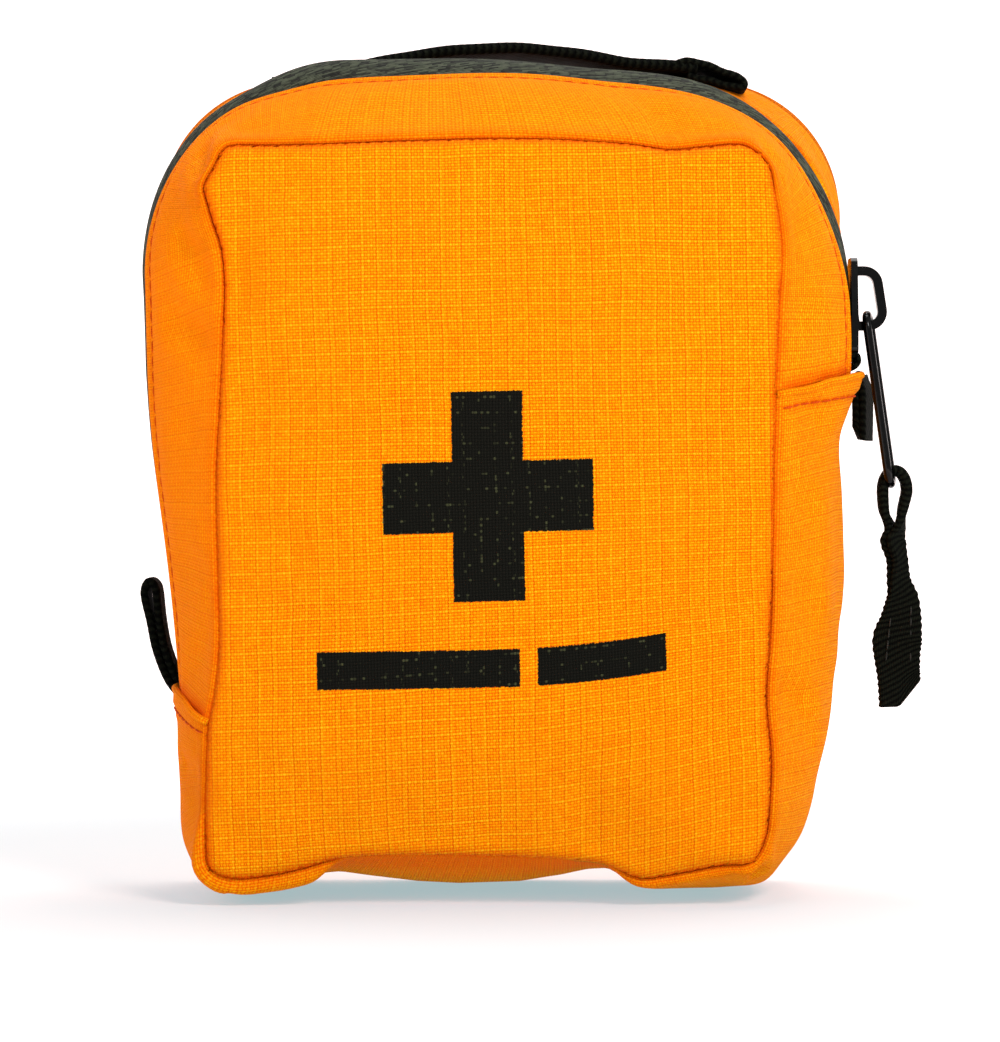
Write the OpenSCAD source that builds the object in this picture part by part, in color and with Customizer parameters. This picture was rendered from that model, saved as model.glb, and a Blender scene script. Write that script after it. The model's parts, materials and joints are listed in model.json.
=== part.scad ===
// Belt pouch first aid kit with its contents.
// Frame: +Z up, +X to the right of the front, which faces -Y. The origin is on the ground under the
// middle of the pouch, with the zip line in the plane y = 0. All sizes are in millimetres.
// The zip runs from half way up the right side, over the top, and down to the foot of the left side.
// The front opens as a flap that folds along the straight line between the two ends of that zip.

/* [Pouch] */
// Width of the pouch at the zip line
pouch_w = 138; // [134:1:142]
// Height of the pouch at the zip line
pouch_h = 162; // [160:1:165]
// Depth from the zip line to the front panel
front_depth = 26; // [25:1:28]
// Depth from the zip line to the back panel
back_depth = 28; // [28:1:31]
// Thickness of one sewn layer of cloth
cloth = 1.2; // [1:0.1:1.4]

/* [Front panel] */
// Width of the front panel across its foot
front_w = 106; // [102:1:108]
// Height of the front panel
front_h = 142; // [140:1:145]
// Span of the printed cross
cross_span = 39; // [30:1:42]
// Width of the arms of the printed cross
cross_arm = 13.2; // [9:0.2:14]

/* [Zip] */
// Width of zip that shows between the two gussets
zip_window = 13; // [12.4:0.2:13.6]
// Thickness of the zip tape
tape = 0.8; // [0.6:0.1:0.9]
// Length of the slider along the zip
slider_length = 19.5; // [18:0.5:20]
// Length of the wire puller between its end bars
puller_length = 33.2; // [28:0.4:34]

/* [Straps] */
// Width of the carry handle webbing
handle_w = 16; // [14:1:17]
// Height of the arch of the carry handle over its ends
handle_rise = 4.2; // [3:0.2:6]
// Width of the belt loop
belt_loop_w = 40; // [30:1:50]
// Space between belt loop and back panel
belt_gap = 6; // [5:0.5:7]

/* [Hidden] */

ORANGE = "#F59B0B";
INK = "#1A1B17";
WEBBING = "#15170F";
ZIP_GREY = "#3D4238";

EPS = 0.01;             // overlap that keeps joined shapes one solid
FIT = 0.1;              // gap between neighbouring sewn layers
CORNER_STEPS = 10;      // points on each rounded corner
seam_gap = 0.3;         // gap where the upper gussets meet the lower one
front_y = -front_depth; // outer face of the front panel
back_y = back_depth;    // outer face of the back panel
half_w = pouch_w / 2;
half_window = zip_window / 2;

// ---------- outlines ----------
// An outline is a list of [x, z] points seen from the front. It starts at the right end of the zip and
// runs over the top, so its first part borders the upper gussets and the rest borders the lower one.

function unit(v) = v / norm(v);

function lerp(a, b, t) = a + (b - a) * t;

// Arc that rounds the corner b between the sides from a and to c.
function corner(a, b, c, r) =
    let (u = unit(a - b), w = unit(c - b),
         half = acos(u * w) / 2,
         centre = b + unit(u + w) * r / sin(half),
         from = b + u * r / tan(half) - centre,
         to = b + w * r / tan(half) - centre,
         start = atan2(from[1], from[0]),
         turn = (atan2(to[1], to[0]) - start + 540) % 360 - 180)
    [for (i = [0:CORNER_STEPS]) centre + r * [cos(start + turn * i / CORNER_STEPS),
                                             sin(start + turn * i / CORNER_STEPS)]];

// Closed outline from its four corners [top right, top left, bottom left, bottom right], their radii
// and the heights at which the zip ends on the right and left sides.
function outline(c, r, right_end, left_end) =
    let (p0 = lerp(c[3], c[0], (right_end - c[3][1]) / (c[0][1] - c[3][1])),
         p1 = lerp(c[2], c[1], (left_end - c[2][1]) / (c[1][1] - c[2][1])))
    concat([p0], corner(p0, c[0], c[1], r[0]), corner(c[0], c[1], p1, r[1]),
           [p1], corner(p1, c[2], c[3], r[2]), corner(c[2], c[3], p0, r[3]));

LEFT_END = 2 * (CORNER_STEPS + 1) + 1;  // index of the outline's point at the left end of the zip

// The zip's lower ends sit higher on the right side than on the left.
zip_end = [101, 40];
front_end = [93, 31];

// The right side is upright above the end of the zip, and leans in below it.
turn_r = 47;            // radius on which the slider runs round the top right corner
zip_line =
    let (top_right = [half_w, pouch_h],
         top_left = [-half_w - 4.4, pouch_h],
         foot_left = [-58.8, 0],
         foot_right = [60.5, 0],
         p0 = [half_w, zip_end[0]],
         p1 = lerp(foot_left, top_left, zip_end[1] / pouch_h))
    concat([p0], corner(p0, top_right, top_left, turn_r), corner(top_right, top_left, p1, 40),
           [p1], corner(p1, foot_left, foot_right, 20), corner(foot_left, foot_right, p0, 22));
turn_centre = [half_w - turn_r, pouch_h - turn_r];

front_line = outline([[front_w / 2 - 3.5, front_h], [-front_w / 2 + 3.5, front_h],
                      [-front_w / 2, 0], [front_w / 2, 0]], [11, 11, 13, 13], front_end[0], front_end[1]);
back_line = outline([[half_w + 0.5, pouch_h - 1], [-half_w - 0.5, pouch_h - 1], [-58, 0], [58, 0]],
                    [27, 27, 18, 18], zip_end[0], zip_end[1]);

// Each point of a closed outline moved inwards by t.
function inset(pts, t) =
    let (n = len(pts))
    [for (i = [0:n - 1])
        let (d = unit(pts[(i + 1) % n] - pts[(i + n - 1) % n]))
        pts[i] + t * [-d[1], d[0]]];

function upper_part(pts) = [for (i = [0:LEFT_END]) pts[i]];

function lower_part(pts) =
    concat([for (i = [LEFT_END:len(pts) - 1]) pts[i]], [pts[0]]);

// The same run of points with its two ends pulled in by the given lengths.
function trimmed(pts, first, last) =
    let (n = len(pts))
    concat([pts[0] + first * unit(pts[1] - pts[0])], [for (i = [1:n - 2]) pts[i]],
           [pts[n - 1] + last * unit(pts[n - 2] - pts[n - 1])]);

function at_y(pts, y) = [for (p = pts) [p[0], y, p[1]]];

// ---------- shells and slabs ----------

// Closed sheet between an outer and an inner grid of points, each a list of rows from front to back.
module sheet(outer, inner) {
    rows = len(outer);
    cols = len(outer[0]);
    n = rows * cols;
    quads = concat(
        [for (i = [0:rows - 2]) for (j = [0:cols - 2])
            [i * cols + j, i * cols + j + 1, (i + 1) * cols + j + 1, (i + 1) * cols + j]],
        [for (i = [0:rows - 2]) for (j = [0:cols - 2])
            [n + (i + 1) * cols + j, n + (i + 1) * cols + j + 1, n + i * cols + j + 1, n + i * cols + j]],
        [for (j = [0:cols - 2]) [j, n + j, n + j + 1, j + 1]],
        [for (j = [0:cols - 2]) let (k = (rows - 1) * cols + j) [k + 1, n + k + 1, n + k, k]],
        [for (i = [0:rows - 2]) [(i + 1) * cols, n + (i + 1) * cols, n + i * cols, i * cols]],
        [for (i = [0:rows - 2]) let (k = i * cols + cols - 1) [k, n + k, n + k + cols, k + cols]]);
    points = concat([for (r = outer) each r], [for (r = inner) each r]);
    polyhedron(points, [for (q = quads) each [[q[0], q[1], q[2]], [q[0], q[2], q[3]]]]);
}

// Rows of a gusset from outline a at y0 to outline b at y1. It leaves a steeply and meets b flat.
function gusset_rows(a, b, y0, y1, t = 0, steps = 4) =
    [for (i = [0:steps])
        let (s = i / steps,
             mixed = [for (k = [0:len(a) - 1]) lerp(a[k], b[k], sin(90 * s))])
        at_y(t > 0 ? inset(mixed, t) : mixed, lerp(y0, y1, s))];

// The part of a gusset's rows above the ends of the zip, cut short by the seam gap at both ends.
function upper_rows(rows) =
    [for (r = rows) at_y(trimmed(upper_part(flat(r)), seam_gap, seam_gap), r[0][1])];

function lower_rows(rows) = [for (r = rows) at_y(lower_part(flat(r)), r[0][1])];

function flat(row) = [for (p = row) [p[0], p[2]]];

function reversed(rows) = [for (i = [len(rows) - 1:-1:0]) rows[i]];

// Flat slab in the plane of the front, from y0 to y1.
module slab(pts, y0, y1) {
    translate([0, y1, 0]) rotate([90, 0, 0]) linear_extrude(y1 - y0) polygon(pts);
}

// Flat slab across the pouch, drawn as [y, z] points, from x0 to x1.
module cross_slab(pts, x0, x1) {
    translate([x0, 0, 0]) rotate([90, 0, 90]) linear_extrude(x1 - x0) polygon(pts);
}

// ---------- the fold line of the flap ----------

fold_right = front_line[0];
fold_left = front_line[LEFT_END];
fold_dir = unit(fold_right - fold_left);
fold_up = [-fold_dir[1], fold_dir[0]];
fold_angle = atan2(fold_dir[1], fold_dir[0]);

// Everything above (side = 1) or below (side = -1) the fold line, at least `gap` away from it.
module fold_side(side, gap) {
    reach = 200;
    translate(fold_left) rotate(fold_angle)
        translate([-reach / 2, side > 0 ? gap : -gap - reach]) square([2 * reach, reach]);
}

module front_slab(side, gap, y0, y1) {
    translate([0, y1, 0]) rotate([90, 0, 0]) linear_extrude(y1 - y0)
        intersection() {
            children();
            fold_side(side, gap);
        }
}

// ---------- pouch shell ----------

panel_in = 2.1;         // how far the layers of the back lie inside its outline, one behind the other
foam_in = 3.6;
lining_in = 4.2;

module back_panel() {
    color(ORANGE) slab(inset(back_line, panel_in), back_y - cloth, back_y);
}

foam = 2;
module back_foam() {
    color("white") slab(inset(back_line, foam_in), back_y - cloth - FIT - foam, back_y - cloth - FIT);
}

lining_y = back_y - cloth - foam - 2 * FIT;     // rear face of the lining
lining = 0.5;
module back_lining() {
    color("#3A3A38") slab(inset(back_line, lining_in), lining_y - lining, lining_y);
}

module back_gusset() {
    color(ORANGE)
        sheet(upper_rows(reversed(gusset_rows(back_line, zip_line, back_y, half_window))),
              upper_rows(reversed(gusset_rows(back_line, zip_line, back_y, half_window, cloth))));
}

module front_gusset() {
    color(ORANGE)
        sheet(upper_rows(gusset_rows(front_line, zip_line, front_y, -half_window)),
              upper_rows(gusset_rows(front_line, zip_line, front_y, -half_window, cloth)));
}

module lower_gusset() {
    function full_rows(t) = concat(
        gusset_rows(front_line, zip_line, front_y, -half_window, t),
        reversed(gusset_rows(back_line, zip_line, back_y, half_window, t)));
    color(ORANGE)
        sheet(lower_rows(full_rows(0)), lower_rows(full_rows(cloth)));
}

module panel_outline() {
    polygon(inset(front_line, cloth + FIT));
}

panel_gap = 0.15;       // half of the gap along the fold line
module front_panel() {
    color(ORANGE) front_slab(1, panel_gap, front_y, front_y + cloth) panel_outline();
}

module front_panel_lower() {
    color(ORANGE) front_slab(-1, panel_gap, front_y, front_y + cloth) panel_outline();
}

// ---------- print ----------
ink = 0.15;
cross_centre = [-2.2, 77];
bar_h = 7;
bar_z = 41.5;
bars = [[-34.5, 3.2], [6.5, 30.4]];     // the plain bars under the cross, as [left, right]
print_gap = 0.6;        // keeps the ink clear of itself as the panel folds

module print_art() {
    translate(cross_centre) {
        square([cross_span, cross_arm], center = true);
        square([cross_arm, cross_span], center = true);
    }
    for (b = bars)
        translate([b[0], bar_z]) square([b[1] - b[0], bar_h]);
}

module print_upper() {
    color(INK) front_slab(1, print_gap, front_y - ink, front_y) print_art();
}

module print_lower() {
    color(INK) front_slab(-1, print_gap, front_y - ink, front_y) print_art();
}

// ---------- zip ----------
slot = 0.8;             // half of the gap between the tapes, in which the slider's neck runs
coil_w = 3.2;
coil = 1.4;             // thickness of the coil behind the tape
tape_in = cloth + 0.05; // depth of the tape's face under the gusset
coil_in = tape_in + tape + 0.05;
tail_steps = 2;         // corner points up to which the front tape stays closed under the slider
tape_edge = half_window - 0.2;

function strip_points(depth, first, last) =
    let (pts = inset(zip_line, depth)) [for (i = [first:last]) pts[i]];

// Strip along the zip line between outline points, at a depth under the gusset's face.
module zip_strip(depth, thick, y0, y1, first, last, cut = 0) {
    outer = trimmed(strip_points(depth, first, last), cut, seam_gap);
    inner = trimmed(strip_points(depth + thick, first, last), cut, seam_gap);
    sheet([at_y(outer, y0), at_y(outer, y1)], [at_y(inner, y0), at_y(inner, y1)]);
}

module back_zip_tape() {
    color(ZIP_GREY) zip_strip(tape_in, tape, slot, tape_edge, 0, LEFT_END);
}

module back_zip_coil() {
    color(ZIP_GREY) zip_strip(coil_in, coil, slot, slot + coil_w, 0, LEFT_END);
}

module front_zip_tape() {
    color(ZIP_GREY) zip_strip(tape_in, tape, -tape_edge, -slot, 1 + tail_steps, LEFT_END, seam_gap);
}

module front_zip_coil() {
    color(ZIP_GREY) zip_strip(coil_in, coil, -slot - coil_w, -slot, 1 + tail_steps, LEFT_END, seam_gap);
}

module front_tape_end() {
    color(ZIP_GREY) zip_strip(tape_in, tape, -tape_edge, -slot, 0, 1 + tail_steps);
}

module front_coil_end() {
    color(ZIP_GREY) zip_strip(coil_in, coil, -slot - coil_w, -slot, 0, 1 + tail_steps);
}

// ---------- slider, puller and pull ----------
// The slider rests where the straight right side turns into the top right corner.
slider_z = turn_centre[1];
slider_drop = 1.2;      // the slider's middle sits this far below that point
tape_face = half_w - tape_in;
coil_face = half_w - coil_in - coil;
plate = 1.3;
outer_gap = 0.2;        // between the outer plate and the tape
inner_gap = 1.6;        // the straight inner plate spans the corner's arc, so it stands off the coil
outer_plate_x = tape_face + outer_gap;
inner_plate_x = coil_face - inner_gap - plate;
plate_front = outer_plate_x + plate;
neck = 1.1;

// Outline of a slider plate in [y, z]: broad shoulders at the foot, narrow at the tail.
module plate_outline(w) {
    half_l = slider_length / 2;
    round_r = 1.2;
    offset(round_r, $fn = 24) offset(-round_r)
        polygon([[-w / 2, -half_l + 1.5], [-w / 2 + 1.5, -half_l], [w / 2 - 1.5, -half_l],
                 [w / 2, -half_l + 1.5], [w / 2, -1], [w / 2 - 1.6, half_l - 1], [w / 2 - 2.6, half_l],
                 [-w / 2 + 2.6, half_l], [-w / 2 + 1.6, half_l - 1], [-w / 2, -1]]);
}

module slider_body() {
    outer_w = 10.6;
    inner_w = 9.8;
    flange = 0.8;
    flange_h = 1.2;
    color("#1B1C1E") translate([0, 0, slider_z - slider_drop]) {
        translate([outer_plate_x, 0, 0]) rotate([90, 0, 90]) linear_extrude(plate) plate_outline(outer_w);
        translate([inner_plate_x, 0, 0]) rotate([90, 0, 90]) linear_extrude(plate) plate_outline(inner_w);
        for (side = [-1, 1])
            translate([inner_plate_x + plate - EPS, side * (inner_w / 2 - flange) - (side < 0 ? flange : 0),
                       -slider_length / 2 + 2.5])
                cube([flange_h, flange, slider_length / 2 - 1]);
        translate([inner_plate_x + plate / 2, -neck / 2, -slider_length / 2 + 0.8])
            cube([outer_plate_x - inner_plate_x, neck, 3.4]);
    }
}

bail_t = 1.8;           // thickness of the bail's bar
bail_w = 2.2;
bail_out = 5.9;         // how far the bail stands out from the plate
bail_z = [-5.5, 7];     // foot and head of the bail, over slider_z

// The bail is a D seen from the front: a foot, a bowed bar and a head, with the plate closing it.
module bail_profile(grow) {
    r = bail_out * 0.62;
    offset(grow, $fn = 24) hull() {
        translate([-1, bail_z[0]]) square([1, bail_z[1] - bail_z[0]]);
        translate([bail_out - r, bail_z[0] + r]) circle(r, $fn = 32);
        translate([bail_out - r - 0.8, bail_z[1] - r]) circle(r, $fn = 32);
    }
}

module slider_bail() {
    color("#1B1C1E") translate([plate_front + FIT / 2, bail_w / 2, slider_z]) rotate([90, 0, 0])
        linear_extrude(bail_w) intersection() {
            difference() {
                bail_profile(0);
                bail_profile(-bail_t);
            }
            translate([0, -20]) square([20, 40]);
        }
}

wire_r = 0.85;
loop_r = 3;             // radius of the wire loop's two ends, at the wire's middle
puller_lean = 8;        // lean of the hanging puller away from the pouch
puller_turn = -12;      // turn of the loop about its own length
puller_pivot = [plate_front + 2.2, slider_z - 2.4];
puller_dir = [sin(puller_lean), -cos(puller_lean)];
puller_end = puller_pivot + puller_length * puller_dir;

module wire_bend() {
    rotate_extrude(angle = 180, $fn = 48) translate([loop_r, 0]) circle(wire_r, $fn = 24);
}

module puller_wire() {
    straight = puller_length - 2 * loop_r;
    color("#222326") translate([puller_pivot[0], 0, puller_pivot[1]]) rotate([0, -puller_lean, 0])
        rotate([0, 0, puller_turn]) rotate([0, 90, 0]) rotate([0, 0, -90]) {
            for (side = [-1, 1])
                translate([side * loop_r, loop_r, 0]) rotate([-90, 0, 0])
                    cylinder(h = straight, r = wire_r, $fn = 24);
            translate([0, loop_r, 0]) rotate([0, 0, 180]) wire_bend();
            translate([0, loop_r + straight, 0]) wire_bend();
        }
}

eye_r = 1.9;            // hole in the folded webbing, round the wire
eye_wall = 1.4;
pull_w = 9;
pull_t = 2.4;
pull_reach = 44;
pull_lean = -2;

module pull_webbing() {
    neck_w = 4.4;
    neck_l = 17;
    color(WEBBING) translate([puller_end[0], pull_t / 2, puller_end[1]]) rotate([90, pull_lean, 0])
        linear_extrude(pull_t) difference() {
            union() {
                circle(eye_r + eye_wall, $fn = 48);
                polygon([[-neck_w / 2, 0], [-neck_w / 2, -neck_l], [-pull_w / 2, -neck_l - 4],
                         [-pull_w / 2 + 1, -pull_reach], [pull_w / 2, -pull_reach + 5],
                         [pull_w / 2, -neck_l - 4], [neck_w / 2, -neck_l], [neck_w / 2, 0]]);
            }
            circle(eye_r, $fn = 48);
        }
}

// ---------- side tabs ----------
tab_w = 10;
tab_y = 4.6;            // the tabs are sewn beside the zip, towards the back
tab_t = 2.8;
right_tab_root = [half_w + 1.9, zip_end[0] - 0.4];
left_tab_root = [zip_line[LEFT_END][0] - 1.9, zip_end[1] + 0.5];
left_tab_lean = 15.3;
left_tab_l = 20;
cord_r = 1.2;           // eye left by the fold at the tip of the left tab

module right_tab() {
    l = 12.5;
    color(WEBBING) slab_at(right_tab_root, 0)
        polygon([[-tab_t / 2, 0], [-tab_t / 2, -l + 2], [-tab_t / 2 + 1, -l], [tab_t / 2, -l],
                 [tab_t / 2, 0]]);
}

module left_tab() {
    color(WEBBING) slab_at(left_tab_root, left_tab_lean)
        difference() {
            union() {
                translate([-tab_t / 2, 0]) square([tab_t, left_tab_l - 2]);
                translate([0, left_tab_l - 2]) circle(cord_r + 1.1, $fn = 48);
            }
            translate([0, left_tab_l - 2]) circle(cord_r, $fn = 48);
        }
}

// Flat shape across the tab's width, standing at a [x, z] point and leaning to the left by `lean`.
module slab_at(root, lean) {
    translate([root[0], tab_y + tab_w, root[1]]) rotate([90, -lean, 0]) linear_extrude(tab_w) children();
}

// ---------- carry handle ----------
handle_y = 9;
handle_span = 73;
handle_t = 1.6;
handle_foot = pouch_h + 1;

// Strip that bows upwards by `rise` over `span`, as points [x, z].
function bow(span, rise, thick) =
    let (steps = 16,
         under = [for (i = [0:steps]) let (u = 2 * i / steps - 1) [u * span / 2, rise * (1 - u * u)]])
    concat(under, [for (i = [steps:-1:0]) under[i] + [0, thick]]);

module handle_strap() {
    color(WEBBING) translate([0, 0, handle_foot])
        slab(bow(handle_span, handle_rise, handle_t), handle_y, handle_y + handle_w);
}

// Each end of the handle is folded under itself and stitched down to the back gusset.
module handle_anchors() {
    l = 12;
    h = 4.2;
    droop = 11;         // the ends lie on the shoulders of the pouch
    color(WEBBING) for (side = [-1, 1])
        translate([side * (handle_span / 2 + 0.3), handle_y + handle_w, pouch_h + FIT])
            rotate([90, 0, 0]) linear_extrude(handle_w) mirror([side < 0 ? 1 : 0, 0]) rotate(-droop)
                polygon([[0, 0], [l - 1, 0], [l, 1.4], [l - 0.4, 2.8], [l - 2, 3.6], [2, h], [0, h - 1]]);
}

// ---------- belt loop ----------
module belt_loop() {
    foot = 38;
    head = 128;
    sewn = 13;
    ramp = 5;
    t = 1.6;
    y0 = back_y + 0.05;
    y1 = back_y + belt_gap;
    color(WEBBING) cross_slab([
        [y0, foot], [y0 + t, foot], [y0 + t, foot + sewn], [y1 + t, foot + sewn + ramp],
        [y1 + t, head - sewn - ramp], [y0 + t, head - sewn], [y0 + t, head], [y0, head],
        [y0, head - sewn - t], [y1, head - sewn - ramp - t], [y1, foot + sewn + ramp + t],
        [y0, foot + sewn + t]], -belt_loop_w / 2, belt_loop_w / 2);
}

// ---------- tool holder on the lining ----------
lining_face = lining_y - lining;        // the lining's inner face
band_t = 0.8;
band_z = [116, 128];

module tool_elastic() {
    color("#20211F") translate([-50, lining_face - FIT - band_t, band_z[0]])
        cube([100, band_t, band_z[1] - band_z[0]]);
}

// Keeper loops that stand out from the band round one item each, as [left, right].
keeper_t = 0.8;
keeper_y = 16.4;
module elastic_keepers() {
    inside = lining_face - FIT - band_t - 0.05;
    color("#20211F") for (k = [[-51.5, -43.4], [tweezers_top[0] - 5.5, tweezers_top[0] + 5.5]])
        translate([0, 0, band_z[0] + 2]) linear_extrude(8) difference() {
            translate([k[0], keeper_y]) square([k[1] - k[0], inside - keeper_y]);
            translate([k[0] + keeper_t, keeper_y + keeper_t])
                square([k[1] - k[0] - 2 * keeper_t, inside - keeper_y]);
        }
}

// ---------- contents ----------

// Flat packet in the plane of the front: low and high corners, with rounded corners in that plane.
module packet(low, high, r) {
    w = high[0] - low[0];
    h = high[2] - low[2];
    translate([low[0], high[1], low[2]]) rotate([90, 0, 0]) linear_extrude(high[1] - low[1])
        translate([r, r]) offset(r, $fn = 32) square([w - 2 * r, h - 2 * r]);
}

module foil_blanket() {
    color("silver") packet([-44, 3.2, 2.5], [44, 15.8, 60], 3);
}

module triangular_bandage() {
    color("ivory") packet([-42, -9, 2.5], [44, 2.6, 58], 2);
}

module gloves_packet() {
    color("#6FA3C8") packet([-40, -21.5, 2.5], [42, -9.8, 50], 4);
}

module lying_roll(x0, x1, y, z, r) {
    translate([x0, y, z]) rotate([0, 90, 0]) cylinder(h = x1 - x0, r = r, $fn = 64);
}

module large_bandage_roll() {
    color("ivory") lying_roll(-50, 6, -4.6, 75.5, 14.6);
}

module small_bandage_roll() {
    color("ivory") lying_roll(10, 47, -4.6, 72.5, 12.2);
}

module wound_dressing() {
    color("#E9EEF2") packet([-50, -19, 91.5], [12, 0, 132], 5);
}

module eye_dressing() {
    color("#DCE8DF") packet([-50, 1, 92], [2, 11, 138], 5);
}

module face_shield_packet() {
    color("#BFD6E6") packet([-46, 11.4, 62], [12, 15.8, 112], 2);
}

roll_x = 31.5;
roll_z = 104;
roll_y = [-16, 4];
core_r = 11;
module tape_roll() {
    color("#EADFC8") translate([roll_x, roll_y[1], roll_z]) rotate([90, 0, 0]) difference() {
        cylinder(h = roll_y[1] - roll_y[0], r = 17, $fn = 64);
        translate([0, 0, -1]) cylinder(h = roll_y[1] - roll_y[0] + 2, r = core_r, $fn = 64);
    }
}

module tape_core() {
    l = roll_y[1] - roll_y[0];
    color("white") translate([roll_x, roll_y[1], roll_z]) rotate([90, 0, 0]) difference() {
        cylinder(h = l, r = core_r - 0.05, $fn = 64);
        translate([0, 0, -1]) cylinder(h = l + 2, r = core_r - 1.3, $fn = 64);
    }
}

module plaster_strips() {
    color("#D9B48F") for (i = [0:3])
        packet([16 + i * 1.5, 8.2 + i * 1.9, 60 + i * 3], [40 + i * 1.5, 9.8 + i * 1.9, 110 + i * 3], 2);
}

// Closed safety pins, hung on the elastic: a wire loop each, with its cap.
module safety_pins() {
    pin_r = 0.5;
    bend_r = 1.6;
    pitch = 6;
    color("silver") for (i = [0:2])
        translate([36 + pitch * i, 21, 119]) {
            for (side = [-1, 1])
                translate([side * bend_r, 0, 0]) cylinder(h = 22, r = pin_r, $fn = 16);
            rotate([-90, 0, 0]) rotate_extrude(angle = 180, $fn = 32) translate([bend_r, 0])
                circle(pin_r, $fn = 16);
            translate([-2.4, -1, 20]) cube([4.8, 2, 4]);
        }
}

// ---------- scissors ----------
pivot = [-28, 88];
rivet_r = 1.5;
blade_t = 1.2;
fixed_blade_y = 20.2;
moving_blade_y = 18.9;
grip_y = [17.8, 22.4];

// The half of the scissors whose ring is on the right, about its pivot, with the blade down.
module blade_shape() {
    difference() {
        polygon([[4.4, 2], [9, 21], [5.4, 22], [-2, 4.6], [-4.4, 1], [-4.2, -8], [-2.2, -34],
                 [0.4, -37], [2.4, -30], [4, -4]]);
        circle(rivet_r + 0.05, $fn = 48);
    }
}

module grip_shape() {
    translate([11.5, 33.2]) difference() {
        offset(3, $fn = 32) square([11, 16], center = true);
        offset(2.2, $fn = 32) square([6, 11], center = true);
    }
}

// One half's flat shape between two depths. side is 1 with its ring on the right, -1 on the left.
module in_scissors(y0, y1, side) {
    translate([pivot[0], y1, pivot[1]]) rotate([90, 0, 0]) linear_extrude(y1 - y0)
        mirror([side < 0 ? 1 : 0, 0]) children();
}

module scissors_fixed_blade() {
    color("silver") in_scissors(fixed_blade_y, fixed_blade_y + blade_t, -1) blade_shape();
}

module scissors_moving_blade() {
    color("silver") in_scissors(moving_blade_y, moving_blade_y + blade_t, 1) blade_shape();
}

module scissors_fixed_grip() {
    color("#1D6FA5") in_scissors(grip_y[0], grip_y[1], -1) grip_shape();
}

module scissors_moving_grip() {
    color("#1D6FA5") in_scissors(grip_y[0], grip_y[1], 1) grip_shape();
}

module scissors_rivet() {
    head = 0.8;
    low = moving_blade_y - FIT;
    high = fixed_blade_y + blade_t + FIT;
    color("silver") translate([pivot[0], high, pivot[1]]) rotate([90, 0, 0]) {
        cylinder(h = high - low, r = rivet_r, $fn = 48);
        translate([0, 0, high - low]) cylinder(h = head, r = 2.6, $fn = 48);
        translate([0, 0, -head]) cylinder(h = head, r = 2.6, $fn = 48);
    }
}

// ---------- tweezers ----------
tweezers_top = [21, 138];
tweezers_y = [18.2, 22.2];
leg_t = 1;
module tweezer_leg(side) {
    root = side * (leg_t / 2 + 0.05);
    bow_w = 4.5;
    tip_x = 3;
    translate([tweezers_top[0], tweezers_y[1], tweezers_top[1]]) rotate([90, 0, 0])
        linear_extrude(tweezers_y[1] - tweezers_y[0])
            polygon([[root - leg_t / 2, 0], [root + leg_t / 2, 0], [root + leg_t / 2 + side * bow_w, -36],
                     [side * tip_x + leg_t / 2, -78], [side * tip_x - leg_t / 2, -78],
                     [root - leg_t / 2 + side * bow_w, -36]]);
}

module tweezers_fixed_leg() {
    color("silver") tweezer_leg(-1);
}

module tweezers_moving_leg() {
    color("silver") tweezer_leg(1);
}

// ---------- pocket on the inside of the flap ----------
// The pocket lies along the fold line, and its items stand in it. Its frame has its origin at the
// left end of the fold line, x along that line and y up from it.
module along_fold(y0, y1) {
    translate([0, y1, 0]) rotate([90, 0, 0]) linear_extrude(y1 - y0)
        translate(fold_left) rotate(fold_angle) children();
}

pocket_y = front_y + cloth + FIT;
module inner_pocket() {
    color("#2B2C2A") along_fold(pocket_y + 3.2, pocket_y + 3.7)
        translate([36, 6]) square([62, 40]);
}

module guidance_leaflet() {
    color("white") along_fold(pocket_y, pocket_y + 0.8) translate([40, 8]) square([54, 46]);
}

module cleansing_wipes() {
    color("#E8F0F4") for (i = [0:1])
        along_fold(pocket_y + 0.9 + 1.1 * i, pocket_y + 1.9 + 1.1 * i)
            translate([39 + 22 * i, 9]) square([34, 46 - 5 * i]);
}

// ---------- the pouch ----------
back_panel();
back_foam();
back_lining();
back_gusset();
lower_gusset();
front_panel_lower();
print_lower();
back_zip_tape();
back_zip_coil();
front_tape_end();
front_coil_end();
handle_anchors();
belt_loop();
tool_elastic();
elastic_keepers();
foil_blanket();
triangular_bandage();
gloves_packet();
large_bandage_roll();
small_bandage_roll();
wound_dressing();
eye_dressing();
face_shield_packet();
tape_roll();
tape_core();
plaster_strips();
safety_pins();
scissors_fixed_blade();
scissors_fixed_grip();
scissors_rivet();
scissors_moving_blade();
scissors_moving_grip();
tweezers_fixed_leg();
tweezers_moving_leg();
front_panel();
front_gusset();
front_zip_tape();
front_zip_coil();
print_upper();
inner_pocket();
cleansing_wipes();
guidance_leaflet();
slider_body();
slider_bail();
puller_wire();
pull_webbing();
right_tab();
left_tab();
handle_strap();
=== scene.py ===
import json
import math

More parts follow.
